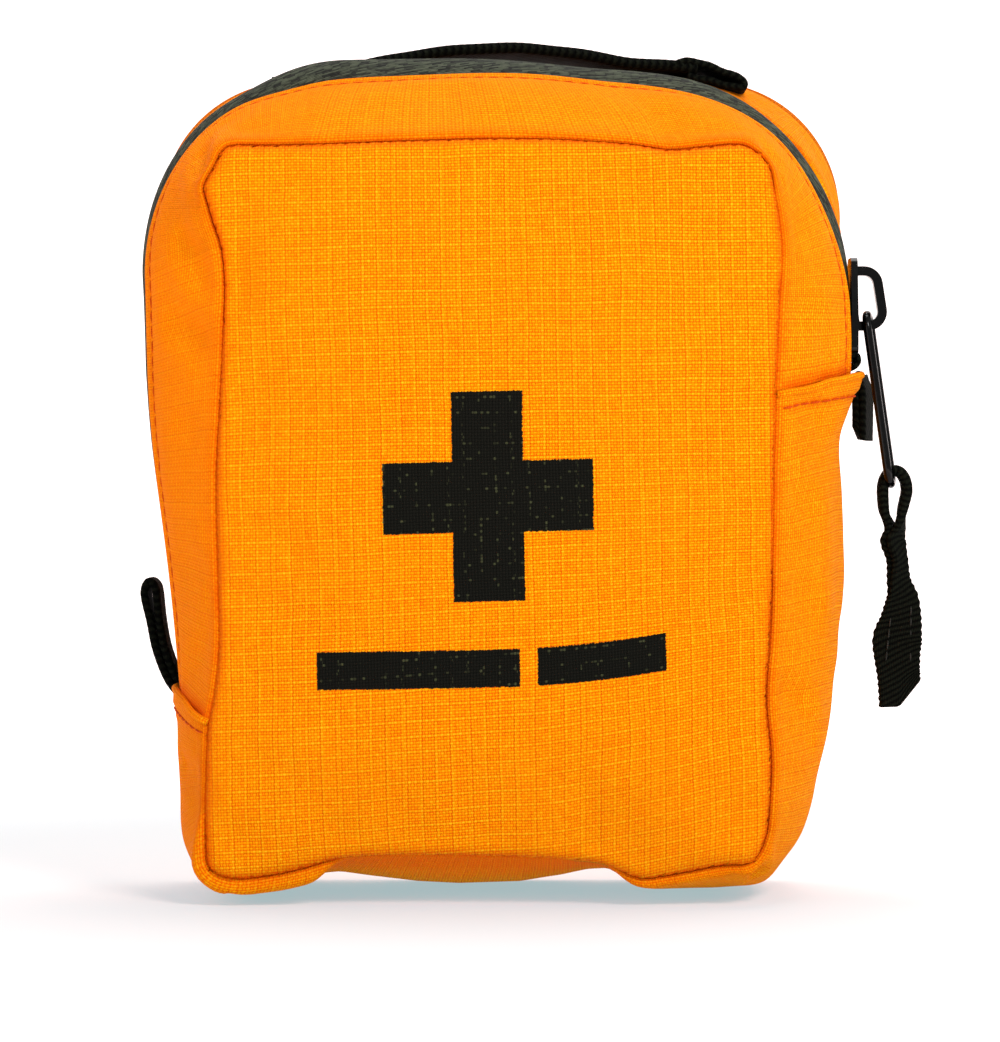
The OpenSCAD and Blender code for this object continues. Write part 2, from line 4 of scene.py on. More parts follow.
import bpy
import numpy as np
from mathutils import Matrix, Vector


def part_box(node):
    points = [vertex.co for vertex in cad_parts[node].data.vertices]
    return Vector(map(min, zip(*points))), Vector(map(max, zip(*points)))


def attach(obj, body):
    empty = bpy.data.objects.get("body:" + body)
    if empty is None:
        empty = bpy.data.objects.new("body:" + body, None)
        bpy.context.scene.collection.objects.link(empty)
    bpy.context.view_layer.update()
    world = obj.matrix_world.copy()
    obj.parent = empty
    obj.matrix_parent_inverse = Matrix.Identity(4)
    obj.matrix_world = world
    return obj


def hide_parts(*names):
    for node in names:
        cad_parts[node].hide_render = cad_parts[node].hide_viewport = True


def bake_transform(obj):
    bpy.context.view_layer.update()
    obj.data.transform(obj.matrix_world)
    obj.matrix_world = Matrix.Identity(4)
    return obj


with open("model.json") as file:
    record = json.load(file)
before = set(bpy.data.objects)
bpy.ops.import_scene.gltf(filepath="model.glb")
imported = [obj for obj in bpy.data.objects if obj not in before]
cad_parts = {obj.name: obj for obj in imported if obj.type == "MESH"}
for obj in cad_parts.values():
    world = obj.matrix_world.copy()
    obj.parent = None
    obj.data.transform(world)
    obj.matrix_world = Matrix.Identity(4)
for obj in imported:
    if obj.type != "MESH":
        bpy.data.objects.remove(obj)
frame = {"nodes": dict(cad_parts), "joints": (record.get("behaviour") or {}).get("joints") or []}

# Lengths below are in millimetres until a mesh is made, which is in metres.
MM = 0.001
nodes = frame["nodes"]
joints = {j["name"]: j for j in frame["joints"]}
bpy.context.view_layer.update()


# ---------- the frame's own sizes ----------
def box_mm(node):
    low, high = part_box(node)
    return np.array(low) / MM, np.array(high) / MM


def joint_mm(name):
    return np.array(joints[name]["pos_m"]) / MM


FRONT_Y = box_mm("front_panel")[0][1]
BACK_Y = box_mm("back_panel")[1][1]
TOP_Z = box_mm("front_gusset")[1][2]
RIGHT_X = box_mm("front_gusset")[1][0]
LINING_Y = box_mm("back_lining")[0][1]
TURN = joint_mm("slider_travel")
PIVOT = joint_mm("puller_swing")
PULL_EYE = joint_mm("pull_tab_swing")
FOLD_POINT = joint_mm("flap_fold")
FOLD_DIR = np.array(joints["flap_fold"]["axis"], float)
FOLD_UP = np.array([-FOLD_DIR[2], 0, FOLD_DIR[0]])


# ---------- small tools ----------
def unit(v):
    v = np.asarray(v, float)
    return v / np.maximum(np.linalg.norm(v, axis=-1, keepdims=True), 1e-9)


def smooth(t):
    t = np.clip(t, 0, 1)
    return t * t * (3 - 2 * t)


def mix(a, b, t):
    return a + (b - a) * t


def ripple(points, size, seed):
    """Soft random swell between -1 and 1 at each point, with features about `size` across."""
    rng = np.random.default_rng(seed)
    total = 0
    for _ in range(6):
        way = unit(rng.normal(size=3)) * rng.uniform(0.7, 1.4) * 2 * math.pi / size
        total = total + np.sin(points @ way + rng.uniform(0, 2 * math.pi))
    return total / 3.2


def grid_normals(grid):
    """Normals of a grid of points, rows by columns."""
    return unit(np.cross(np.gradient(grid, axis=1), np.gradient(grid, axis=0)))


def run_length(points):
    """Distance along a run of points, starting at 0."""
    return np.concatenate([[0], np.cumsum(np.linalg.norm(np.diff(points, axis=0), axis=1))])


def values_at(at, run, values):
    """Rows of values at distances along a run."""
    return np.stack([np.interp(at, run, values[:, i]) for i in range(values.shape[1])], 1)


def resample(points, count):
    """`count` points at equal steps along a run of points."""
    run = run_length(points)
    return values_at(np.linspace(0, run[-1], count), run, points)


def line_points(a, b, count):
    return resample(np.array([a, b], float), count)


def curve_through(points, count):
    """Smooth curve through a few points (Catmull-Rom), at equal steps."""
    p = np.asarray(points, float)
    p = np.concatenate([[2 * p[0] - p[1]], p, [2 * p[-1] - p[-2]]])
    out = []
    for i in range(1, len(p) - 2):
        t = np.linspace(0, 1, 24, endpoint=False)[:, None]
        a, b, c, d = p[i - 1], p[i], p[i + 1], p[i + 2]
        out.append(0.5 * (2 * b + (c - a) * t + (2 * a - 5 * b + 4 * c - d) * t**2
                          + (3 * b - a - 3 * c + d) * t**3))
    return resample(np.concatenate(out + [p[-2:-1]]), count)


def add_mesh(name, points, faces, materials, face_material=None, uv=None, art=None, shade=None):
    """Smooth mesh from points in millimetres. uv and art are per-point cloth and print coordinates,
    and shade is how much each point is coloured darker by painted seam shade, from 0 to 1."""
    mesh = bpy.data.meshes.new(name)
    mesh.from_pydata((np.asarray(points) * MM).tolist(), [], [list(map(int, f)) for f in faces])
    for m in materials:
        mesh.materials.append(m)
    if face_material is not None:
        mesh.polygons.foreach_set("material_index", np.asarray(face_material, np.int32))
    mesh.polygons.foreach_set("use_smooth", np.ones(len(mesh.polygons), bool))
    corner = np.zeros(len(mesh.loops), np.int32)
    mesh.loops.foreach_get("vertex_index", corner)
    for layer, values in (("cloth", uv), ("art", art)):
        if values is not None:
            data = mesh.uv_layers.new(name=layer).data
            data.foreach_set("uv", (np.asarray(values)[corner] * MM).astype(np.float32).ravel())
    if shade is not None:
        data = mesh.attributes.new("painted_seam_shade", "FLOAT", "POINT").data
        data.foreach_set("value", np.asarray(shade, np.float32).ravel())
    mesh.update()
    obj = bpy.data.objects.new(name, mesh)
    bpy.context.scene.collection.objects.link(obj)
    return obj


def grid_faces(rows, cols, wrap_rows=False, wrap_cols=False):
    """Four-sided faces of a grid of points, closed round either way where asked."""
    r, c = np.meshgrid(np.arange(rows - (not wrap_rows)), np.arange(cols - (not wrap_cols)),
                       indexing="ij")
    r2, c2 = (r + 1) % rows, (c + 1) % cols
    return np.stack([r * cols + c, r * cols + c2, r2 * cols + c2, r2 * cols + c], -1).reshape(-1, 4)


def sheet(name, outer, thick, uv, materials, art=None, round_edge=True, shade=None):
    """Closed sheet of cloth with `outer` as its face. Its two long edges are rounded over."""
    inner = outer - grid_normals(outer) * thick
    rows, cols = outer.shape[:2]
    low = (outer[0] + inner[0]) / 2
    high = (outer[-1] + inner[-1]) / 2
    if round_edge:
        low = low + unit(outer[0] - outer[1]) * thick / 2
        high = high + unit(outer[-1] - outer[-2]) * thick / 2
    loop = np.concatenate([outer, high[None], inner[::-1], low[None]])
    twice = lambda a: np.concatenate([a, a[-1:], a[::-1], a[:1]])
    repeat = lambda a: None if a is None else twice(a).reshape(-1, 2)
    n = len(loop)
    faces = grid_faces(n, cols, wrap_rows=True)
    row_of = faces[:, 0] // cols
    side = ((row_of > rows) & (row_of < n - 1)).astype(int) * (len(materials) - 1)
    caps = []
    for c in (0, cols - 1):
        for i in range(rows - 1):
            quad = [r * cols + c for r in (i, i + 1, 2 * rows - 1 - i, 2 * rows - i)]
            caps.append(quad if c == 0 else quad[::-1])
        for i, j, k in ((rows - 1, rows, rows + 1), (2 * rows, 2 * rows + 1, 0)):
            tri = [i * cols + c, j * cols + c, k * cols + c]
            caps.append(tri if c == 0 else tri[::-1])
    return add_mesh(name, loop.reshape(-1, 3), list(faces) + caps, materials,
                    np.concatenate([side, np.zeros(len(caps), int)]), repeat(uv), repeat(art),
                    None if shade is None else twice(shade))


def tube_arrays(path, radius, sides=12, up=(0, 1, 0)):
    """Points and uv of a tube along a path. radius is a number or one for each point."""
    path = np.asarray(path, float)
    along = unit(np.gradient(path, axis=0))
    side = unit(np.cross(along, np.asarray(up, float)))
    other = np.cross(side, along)
    angle = np.linspace(0, 2 * math.pi, sides, endpoint=False)
    radius = np.broadcast_to(radius, len(path))[:, None, None]
    ring = np.cos(angle)[:, None] * side[:, None] + np.sin(angle)[:, None] * other[:, None]
    length = run_length(path)
    uv = np.stack(np.broadcast_arrays(angle[None, :] * np.max(radius), length[:, None]), -1)
    return path[:, None] + radius * ring, uv


def closed_part(ring, uv):
    """Part of a mesh from the rings of a tube or strap, closed at both its ends."""
    rows, cols = ring.shape[:2]
    faces = list(grid_faces(rows, cols, wrap_cols=True)[:, ::-1])
    faces += [list(range(cols)), list(range(rows * cols - cols, rows * cols))[::-1]]
    return ring, faces, uv


def tube_part(path, radius, **kw):
    return closed_part(*tube_arrays(path, radius, **kw))


def joined(name, parts, material):
    """One mesh from several (points, faces, uv) parts."""
    points, faces, uv, n = [], [], [], 0
    for p, f, t in parts:
        p = p.reshape(-1, 3)
        points.append(p)
        faces += [[int(v) + n for v in face] for face in f]
        uv.append(t.reshape(-1, 2))
        n += len(p)
    return add_mesh(name, np.concatenate(points), faces, [material], uv=np.concatenate(uv))


def tube(name, path, radius, material, **kw):
    return joined(name, [tube_part(path, radius, **kw)], material)


# ---------- materials ----------
class Node:
    """A shader value that adds and multiplies like a number."""

    def __init__(self, tree, socket):
        self.tree, self.socket = tree, socket

    def op(self, kind, *others):
        n = self.tree.nodes.new("ShaderNodeMath")
        n.operation = kind
        for i, v in enumerate((self,) + others):
            if isinstance(v, Node):
                self.tree.links.new(v.socket, n.inputs[i])
            else:
                n.inputs[i].default_value = v
        return Node(self.tree, n.outputs[0])

    def __add__(self, o):
        return self.op("ADD", o)

    def __sub__(self, o):
        return self.op("SUBTRACT", o)

    def __mul__(self, o):
        return self.op("MULTIPLY", o)

    def __rsub__(self, o):
        return (self * -1.0) + o

    def sin(self):
        return self.op("SINE")

    def abs(self):
        return self.op("ABSOLUTE")

    def fract(self):
        return self.op("FRACT")

    def floor(self):
        return self.op("FLOOR")

    def max(self, o):
        return self.op("MAXIMUM", o)

    def ramp(self, low, high):
        """0 below low, 1 above high, smooth between."""
        n = self.tree.nodes.new("ShaderNodeMapRange")
        n.interpolation_type = "SMOOTHSTEP"
        self.tree.links.new(self.socket, n.inputs["Value"])
        n.inputs["From Min"].default_value = low
        n.inputs["From Max"].default_value = high
        return Node(self.tree, n.outputs["Result"])


class Shader:
    """A principled material with helpers for building its patterns."""

    def __init__(self, name, roughness=0.6, **inputs):
        self.material = bpy.data.materials.new(name)
        self.material.use_nodes = True
        self.tree = self.material.node_tree
        self.bsdf = self.tree.nodes["Principled BSDF"]
        self.bsdf.inputs["Roughness"].default_value = roughness
        for key, value in inputs.items():
            self.bsdf.inputs[key.replace("_", " ")].default_value = value

    def new(self, kind, **settings):
        n = self.tree.nodes.new(kind)
        for key, value in settings.items():
            setattr(n, key, value)
        return n

    def coords(self, layer="cloth"):
        """The two coordinates of a layer, in millimetres."""
        uv = self.new("ShaderNodeUVMap", uv_map=layer)
        split = self.new("ShaderNodeSeparateXYZ")
        self.tree.links.new(uv.outputs[0], split.inputs[0])
        return tuple(Node(self.tree, split.outputs[i]) * (1 / MM) for i in (0, 1))

    def place(self):
        """Object position in millimetres, as a vector socket."""
        at = self.new("ShaderNodeTexCoord")
        scale = self.new("ShaderNodeVectorMath", operation="SCALE")
        self.tree.links.new(at.outputs["Object"], scale.inputs[0])
        scale.inputs["Scale"].default_value = 1 / MM
        return scale.outputs[0]

    def noise(self, scale, vector=None, detail=2.0, roughness=0.5):
        """Noise from 0 to 1, `scale` features per millimetre."""
        n = self.new("ShaderNodeTexNoise")
        n.inputs["Scale"].default_value = scale
        n.inputs["Detail"].default_value = detail
        n.inputs["Roughness"].default_value = roughness
        self.tree.links.new(vector or self.place(), n.inputs["Vector"])
        return Node(self.tree, n.outputs[0])

    def join(self, u, v):
        c = self.new("ShaderNodeCombineXYZ")
        for value, socket in ((u, c.inputs[0]), (v, c.inputs[1])):
            self.tree.links.new(value.socket, socket)
        return c.outputs[0]

    def random(self, u, v):
        """A random number for each whole pair of u and v."""
        n = self.new("ShaderNodeTexWhiteNoise", noise_dimensions="2D")
        self.tree.links.new(self.join(u, v), n.inputs["Vector"])
        return Node(self.tree, n.outputs["Value"])

    def blend(self, factor, a, b):
        """Colour a where factor is 0 and b where it is 1. Each is a colour or a socket."""
        n = self.new("ShaderNodeMix", data_type="RGBA")
        self.tree.links.new(factor.socket, n.inputs["Factor"])
        for value, socket in ((a, n.inputs[6]), (b, n.inputs[7])):
            if isinstance(value, bpy.types.NodeSocket):
                self.tree.links.new(value, socket)
            else:
                socket.default_value = (*value, 1)
        return n.outputs[2]

    def colour(self, value):
        if isinstance(value, bpy.types.NodeSocket):
            self.tree.links.new(value, self.bsdf.inputs["Base Color"])
        else:
            self.bsdf.inputs["Base Color"].default_value = (*value, 1)
        return self

    def rough(self, value):
        self.tree.links.new(value.socket, self.bsdf.inputs["Roughness"])
        return self

    def bump(self, height, depth, strength=1.0):
        """height is 0 to 1, and depth is how high 1 stands, in millimetres."""
        n = self.new("ShaderNodeBump")
        n.inputs["Strength"].default_value = strength
        n.inputs["Distance"].default_value = depth * MM
        self.tree.links.new(height.socket, n.inputs["Height"])
        self.tree.links.new(n.outputs[0], self.bsdf.inputs["Normal"])
        return self


def weave(shader, u, v, pitch_u, pitch_v):
    """Height, from 0 to 1, of a plain weave, and how far its warp lies on top, with both threads' numbers."""
    a, b = u * (1 / pitch_u), v * (1 / pitch_v)
    ia, ib = a.floor(), b.floor()
    over_a = ((b + ia) * math.pi).sin() * 0.5 + 0.5
    over_b = ((a + ib) * math.pi).sin() * -0.5 + 0.5
    warp = (a.fract() * math.pi).sin() * (over_a * 0.75 + 0.1)
    weft = (b.fract() * math.pi).sin() * (over_b * 0.85 + 0.15)
    return warp.max(weft), (warp - weft).ramp(-0.25, 0.25), ia, ib


def inside_box(u, v, cx, cz, half_x, half_z, soft):
    """1 inside a box of the print, 0 outside, over an edge `soft` wide."""
    dx = (u - cx).abs() - half_x
    dz = (v - cz).abs() - half_z
    return 1.0 - dx.max(dz).ramp(-soft, soft)


THREAD = 0.57          # pitch of the threads of the orange cloth
RIB_U, RIB_V = 3.0, 2.85  # spacing of its raised ribs
CROSS = (-2.2, 77.0, 19.5, 6.6)       # centre, half span and half arm width of the printed cross
BARS = ((-34.5, 3.2), (6.5, 30.4))    # left and right ends of the printed bars
BAR_Z = (41.5, 48.5)


def ripstop(name, printed=False, reverse=False, ribs=1.0):
    """Orange ripstop: a plain weave with a grid of doubled threads, and the print on the front."""
    s = Shader(name, 0.8, Specular_IOR_Level=0.03)
    u, v = s.coords()
    swirl = s.noise(0.05, detail=1.0) * 1.2
    u2, v2 = u + swirl, v + swirl * 0.7
    height, top, iv, iu = weave(s, v2, u2, THREAD, THREAD)
    off_u = ((u2 * (1 / RIB_U)).fract() - 0.5).abs() * RIB_U
    off_v = ((v2 * (1 / RIB_V)).fract() - 0.5).abs() * RIB_V
    rib_u, rib_v = 1.0 - off_u.ramp(0.16, 0.34), 1.0 - off_v.ramp(0.16, 0.34)
    gap_u = 1.0 - (off_u - 0.46).abs().ramp(0.04, 0.2)
    gap_v = 1.0 - (off_v - 0.46).abs().ramp(0.04, 0.2)
    rib, gap = rib_u.max(rib_v), gap_u.max(gap_v)
    thread = s.random(iu, (v2 * 0.13).floor()) * 0.5 + s.random((u2 * 0.11).floor(), iv) * 0.5
    # Painted light and shade: thread tops and raised ribs are coloured brighter and the gaps between threads
    # darker, standing in for light on the weave; the thread and noise terms add the cloth's own uneven tone.
    relief = height * 0.8 + rib * (0.2 * ribs) - gap * (1.0 - height) * (0.4 * ribs)
    light = relief + (thread - 0.5) * 0.12 + (s.noise(0.9) - 0.5) * 0.45 + (top - 0.5) * 0.28
    if reverse:
        dark, mid, bright = (0.42, 0.11, 0.006), (0.62, 0.19, 0.01), (0.72, 0.26, 0.02)
    else:
        dark, mid, bright = (0.84, 0.11, 0.0), (0.94, 0.315, 0.0), (0.99, 0.525, 0.012)
    base = s.blend(light.ramp(0.05, 0.58), dark, mid)
    base = s.blend(light.ramp(0.6, 0.98) * 0.9, base, bright)
    wide = s.noise(0.03, detail=3.0).ramp(0.3, 0.75)
    base = s.blend(wide * 0.15, base, (0.9, 0.24, 0.001))
    # Painted shade: faces turned to the left and faces turned up are coloured deeper red-orange by their
    # direction, standing in for how the light falls on them.
    facing = s.new("ShaderNodeSeparateXYZ")
    s.tree.links.new(s.new("ShaderNodeNewGeometry").outputs["Normal"], facing.inputs[0])
    painted_side_shade = (Node(s.tree, facing.outputs[0]) * -1.0).ramp(0.15, 0.9)
    painted_side_shade = painted_side_shade.max(Node(s.tree, facing.outputs[2]).ramp(0.25, 1.0) * 0.7)
    base = s.blend(painted_side_shade * 0.6, base, (0.98, 0.19, 0.0))
    # Painted shade: near seams, stitch grooves and hem ends the cloth is coloured deep red-orange, standing
    # in for the shade in those creases.
    seam = s.new("ShaderNodeAttribute", attribute_name="painted_seam_shade")
    base = s.blend(Node(s.tree, seam.outputs["Fac"]) * 0.8, base, (0.78, 0.075, 0.0))
    if printed:
        x, z = s.coords("art")
        ragged = (s.noise(1.6) - 0.5) * 0.5 + (height - 0.5) * 0.12
        x, z = x + ragged, z + ragged
        cx, cz, span, arm = CROSS
        ink = inside_box(x, z, cx, cz, span, arm, 0.1).max(inside_box(x, z, cx, cz, arm, span, 0.1))
        for left, right in BARS:
            low, high = BAR_Z
            ink = ink.max(inside_box(x, z, (left + right) / 2, (low + high) / 2,
                                     (right - left) / 2, (high - low) / 2, 0.1))
        worn = (s.random(iu, iv) + rib * 0.3 + s.noise(0.12) * 0.3).ramp(1.2, 1.45) * height
        # Painted shade on the print: the ink is darker in the gaps between threads and lighter on their tops;
        # the worn spots below are real wear.
        black = s.blend(height, (0.003, 0.003, 0.0022), (0.0095, 0.0092, 0.007))
        black = s.blend(worn, black, (0.06, 0.065, 0.03))
        base = s.blend(ink, base, black)
    s.colour(base)
    s.bump(relief, 0.2)
    return s.material


def webbing(name, pitch=1.5, base=(0.0012, 0.0014, 0.001), tip=(0.0085, 0.01, 0.006)):
    """Ribbed webbing: slanted ribs along its run, with fine threads across them."""
    s = Shader(name, 0.85, Specular_IOR_Level=0.04)
    u, v = s.coords()
    rib = ((v * (1 / pitch) + u * 0.4) * math.pi).sin().abs()
    fine = ((u * (1 / 0.45)) * math.pi).sin().abs()
    height = rib * 0.75 + fine * 0.25
    fuzz = s.noise(2.5, detail=3.0)
    # Painted highlight: the raised ribs and threads are coloured toward tip and the grooves toward base, with
    # random fuzz in the tone.
    s.colour(s.blend((height * 0.8 + (fuzz - 0.5) * 0.7).ramp(0.25, 1.0), base, tip))
    s.bump(height + (fuzz - 0.5) * 0.3, 0.3)
    return s.material


def zip_cloth(name):
    """Woven zip tape: short slanted strands along the zip, some light and some dark."""
    s = Shader(name, 0.75, Specular_IOR_Level=0.2)
    u, v = s.coords()
    across = (u + v * 0.22) * (1 / 0.42)
    row = across.floor()
    along = (v + s.random(row, row) * 5.0) * (1 / 1.7)
    strand = s.random(along.floor(), row)
    height = (across * math.pi).sin().abs() * 0.7 + (along * math.pi).sin().abs() * 0.3
    fuzz = s.noise(1.0, s.join(u * 2.0, v * 0.4), detail=3.0)
    # The strands' light and dark tone is their own; the weave's raised parts are also coloured lighter, as
    # painted light.
    tone = (height * 0.3 + strand * 0.45 + fuzz * 0.5).ramp(0.4, 1.05)
    s.colour(s.blend(tone, (0.0025, 0.003, 0.002), (0.085, 0.1, 0.06)))
    s.bump(height + fuzz * 0.4, 0.3)
    return s.material


def lacquer(name, colour, roughness, wear=(0.2, 0.2, 0.2), metal=0.0, coat=0.3, gloss=0.35):
    """Lacquered or plated metal, with small scratches and a little bare metal."""
    s = Shader(name, roughness, Metallic=metal, Coat_Weight=coat, Coat_Roughness=0.15,
               Specular_IOR_Level=gloss)
    scratch = s.noise(0.6, detail=6.0, roughness=0.7)
    s.colour(s.blend(scratch.ramp(0.62, 0.78) * 0.5, colour, wear))
    s.rough(scratch * 0.2 + (roughness - 0.05))
    s.bump(s.noise(0.9, detail=3.0), 0.05, 0.4)
    return s.material


def plain(name, colour, second, roughness, size=0.2, depth=0.05, **kw):
    """Moulded or paper surface with a soft change of tone and a fine grain."""
    s = Shader(name, roughness, **kw)
    s.colour(s.blend(s.noise(size, detail=4.0).ramp(0.3, 0.75), colour, second))
    s.bump(s.noise(size * 6, detail=3.0), depth, 0.5)
    return s.material


def gauze(name, colour, dark, pitch, depth=0.2, crinkle=0.0):
    """Open plain weave, with a crinkle across it for crepe."""
    s = Shader(name, 0.85, Specular_IOR_Level=0.15)
    u, v = s.coords()
    wobble = (s.noise(0.15) - 0.5) * 1.5
    height = weave(s, u + wobble, v + wobble, pitch, pitch)[0]
    fold = s.noise(0.5, s.join(u * 0.2, v * 1.6), detail=3.0)
    # Painted shade: the gaps between threads, and for crepe the valleys of its crinkle, are coloured toward
    # dark, and the raised threads toward colour.
    s.colour(s.blend((height + (fold - 0.5) * crinkle).ramp(0.1, 0.7), dark, colour))
    s.bump(height * (1 - 0.6 * min(crinkle, 1)) + fold * crinkle, depth)
    return s.material


def film(name, colour, second, roughness=0.25, size=0.06, depth=0.6):
    """Packet film with soft creases."""
    s = Shader(name, roughness, Coat_Weight=0.25, Coat_Roughness=0.2)
    fold = s.noise(size, detail=4.0, roughness=0.55)
    # Painted light: the film is coloured toward second where its creases stand high and toward colour in
    # their hollows.
    s.colour(s.blend(fold.ramp(0.35, 0.7), colour, second))
    s.bump(fold, depth, 0.7)
    return s.material


ORANGE = ripstop("ripstop_orange", ribs=0.45)
PRINTED = ripstop("ripstop_printed", printed=True, ribs=0.65)
REVERSE = ripstop("ripstop_reverse", reverse=True)
WEBBING = webbing("webbing_black")
FINE_WEBBING = webbing("webbing_fine", 1.1)
ZIP_TAPE = zip_cloth("zip_tape")
COIL = plain("zip_coil", (0.018, 0.019, 0.016), (0.035, 0.037, 0.03), 0.35)
THREAD_ORANGE = gauze("stitch_orange", (0.74, 0.085, 0.001), (0.48, 0.03, 0.0005), 0.4, 0.1)
THREAD_BLACK = gauze("stitch_black", (0.03, 0.03, 0.026), (0.008, 0.008, 0.007), 0.4, 0.1)
LACQUER = lacquer("slider_lacquer", (0.001, 0.001, 0.001), 0.13, (0.008, 0.008, 0.008), coat=0.0, gloss=0.2)
WIRE = lacquer("wire_coating", (0.001, 0.001, 0.001), 0.12, (0.008, 0.008, 0.008), coat=0.0, gloss=0.2)
LINING = gauze("lining_cloth", (0.055, 0.055, 0.052), (0.02, 0.02, 0.019), 0.45, 0.12)
ELASTIC = webbing("elastic_ribs", 0.9, (0.008, 0.008, 0.008), (0.045, 0.045, 0.045))
STEEL = lacquer("satin_steel", (0.55, 0.56, 0.58), 0.3, (0.7, 0.7, 0.72), 1.0, 0.0)
CHROME = lacquer("plated_wire", (0.7, 0.7, 0.72), 0.15, (0.5, 0.5, 0.5), 1.0, 0.0)
GRIP = plain("grip_plastic", (0.012, 0.11, 0.33), (0.02, 0.14, 0.38), 0.35)
FOIL = lacquer("foil", (0.72, 0.73, 0.76), 0.22, (0.85, 0.85, 0.88), 1.0, 0.4)
CREPE = gauze("crepe", (0.74, 0.6, 0.42), (0.5, 0.37, 0.23), 0.8, 0.35, 0.9)
GAUZE = gauze("gauze", (0.86, 0.85, 0.8), (0.55, 0.54, 0.5), 0.9, 0.2, 0.2)
CALICO = gauze("calico", (0.82, 0.79, 0.7), (0.6, 0.57, 0.48), 0.6, 0.15, 0.2)
PAPER_WRAP = film("paper_wrap", (0.8, 0.83, 0.85), (0.9, 0.92, 0.93), 0.5)
GREEN_WRAP = film("green_wrap", (0.3, 0.55, 0.36), (0.4, 0.65, 0.45), 0.45)
BLUE_WRAP = film("blue_wrap", (0.05, 0.2, 0.42), (0.08, 0.27, 0.52), 0.25)
CLEAR_WRAP = film("pale_blue_wrap", (0.45, 0.62, 0.75), (0.58, 0.73, 0.84), 0.22)
PLASTER = gauze("plaster_cloth", (0.68, 0.42, 0.25), (0.5, 0.28, 0.15), 0.6, 0.12)
PAPER = plain("leaflet_paper", (0.84, 0.84, 0.8), (0.9, 0.9, 0.87), 0.7)
TAPE = gauze("cloth_tape", (0.78, 0.72, 0.6), (0.6, 0.53, 0.42), 0.5, 0.1)
CORE = plain("core_plastic", (0.78, 0.78, 0.76), (0.85, 0.85, 0.84), 0.4)
MESH = gauze("pocket_mesh", (0.05, 0.05, 0.048), (0.01, 0.01, 0.01), 1.4, 0.4)
FOAM = plain("foam", (0.75, 0.75, 0.72), (0.82, 0.82, 0.8), 0.9)


# ---------- outlines of the pouch ----------
# Every outline runs from the right end of the zip over the top to its left end, then round the foot,
# with the same number of points on each stretch, so that outlines can be lofted point to point.
STEPS = {"right": 22, "tr": 60, "top": 60, "tl": 52, "left": 72, "low_left": 22, "bl": 28, "foot": 76,
         "br": 32, "low_right": 60}
UPPER = STEPS["right"] + STEPS["tr"] + STEPS["top"] + STEPS["tl"] + STEPS["left"]
AROUND = sum(STEPS.values())


def corner(a, b, c, r, count):
    u, w = unit(a - b), unit(c - b)
    half = math.acos(float(u @ w)) / 2
    centre = b + unit(u + w) * r / math.sin(half)
    start = b + u * r / math.tan(half) - centre
    stop = b + w * r / math.tan(half) - centre
    first = math.atan2(start[1], start[0])
    turn = (math.atan2(stop[1], stop[0]) - first + 3 * math.pi) % (2 * math.pi) - math.pi
    angle = first + turn * np.linspace(0, 1, count + 1)
    return centre + r * np.stack([np.cos(angle), np.sin(angle)], 1)


def outline(right, tr, tl, left, bl, br):
    """Closed outline in x and z. right and left are the zip's ends, the rest corners [x, z, radius]."""
    right, left = np.array(right, float), np.array(left, float)
    tr, tl, bl, br = (np.array(c, float) for c in (tr, tl, bl, br))
    a = corner(right, tr[:2], tl[:2], tr[2], STEPS["tr"])
    b = corner(tr[:2], tl[:2], left, tl[2], STEPS["tl"])
    c = corner(left, bl[:2], br[:2], bl[2], STEPS["bl"])
    d = corner(bl[:2], br[:2], right, br[2], STEPS["br"])
    line = lambda p, q, n: np.linspace(p, q, n, endpoint=False)
    return np.concatenate([
        line(right, a[0], STEPS["right"]), a[:-1], line(a[-1], b[0], STEPS["top"]), b[:-1],
        line(b[-1], left, STEPS["left"]), line(left, c[0], STEPS["low_left"]), c[:-1],
        line(c[-1], d[0], STEPS["foot"]), d[:-1], line(d[-1], right, STEPS["low_right"])])


def nudged(points, nudges):
    """Points pushed by [x, z, dx, dz, reach], each fading with the distance from x, z."""
    out = points.copy()
    for x, z, dx, dz, reach in nudges:
        far = ((points - [x, z]) ** 2).sum(1) / reach**2
        out += np.exp(-far)[:, None] * [dx, dz]
    return out


SEAM_Y = FRONT_Y + 1.9          # bottom of the groove round the front panel
BACK_SEAM_Y = BACK_Y - 2.0
ZIP_EDGE = 6.5                  # the cloth ends this far from the zip's middle


def stretches(**runs):
    """Closed outline from a run of x, z points for each stretch, each starting where the last ended."""
    whole, marks = [], [0]
    for name in STEPS:
        whole += runs[name]
        marks.append(len(whole) - 1)
    whole = np.array(whole, float)
    dense = curve_through(np.concatenate([whole, whole[:1]]), 4000)
    knots = [np.argmin(((dense - whole[m]) ** 2).sum(1)) for m in marks]
    knots[0], knots[-1] = 0, len(dense) - 1
    return np.concatenate([resample(dense[a:b + 1], STEPS[name] + 1)[:-1]
                           for a, b, name in zip(knots, knots[1:], STEPS)])


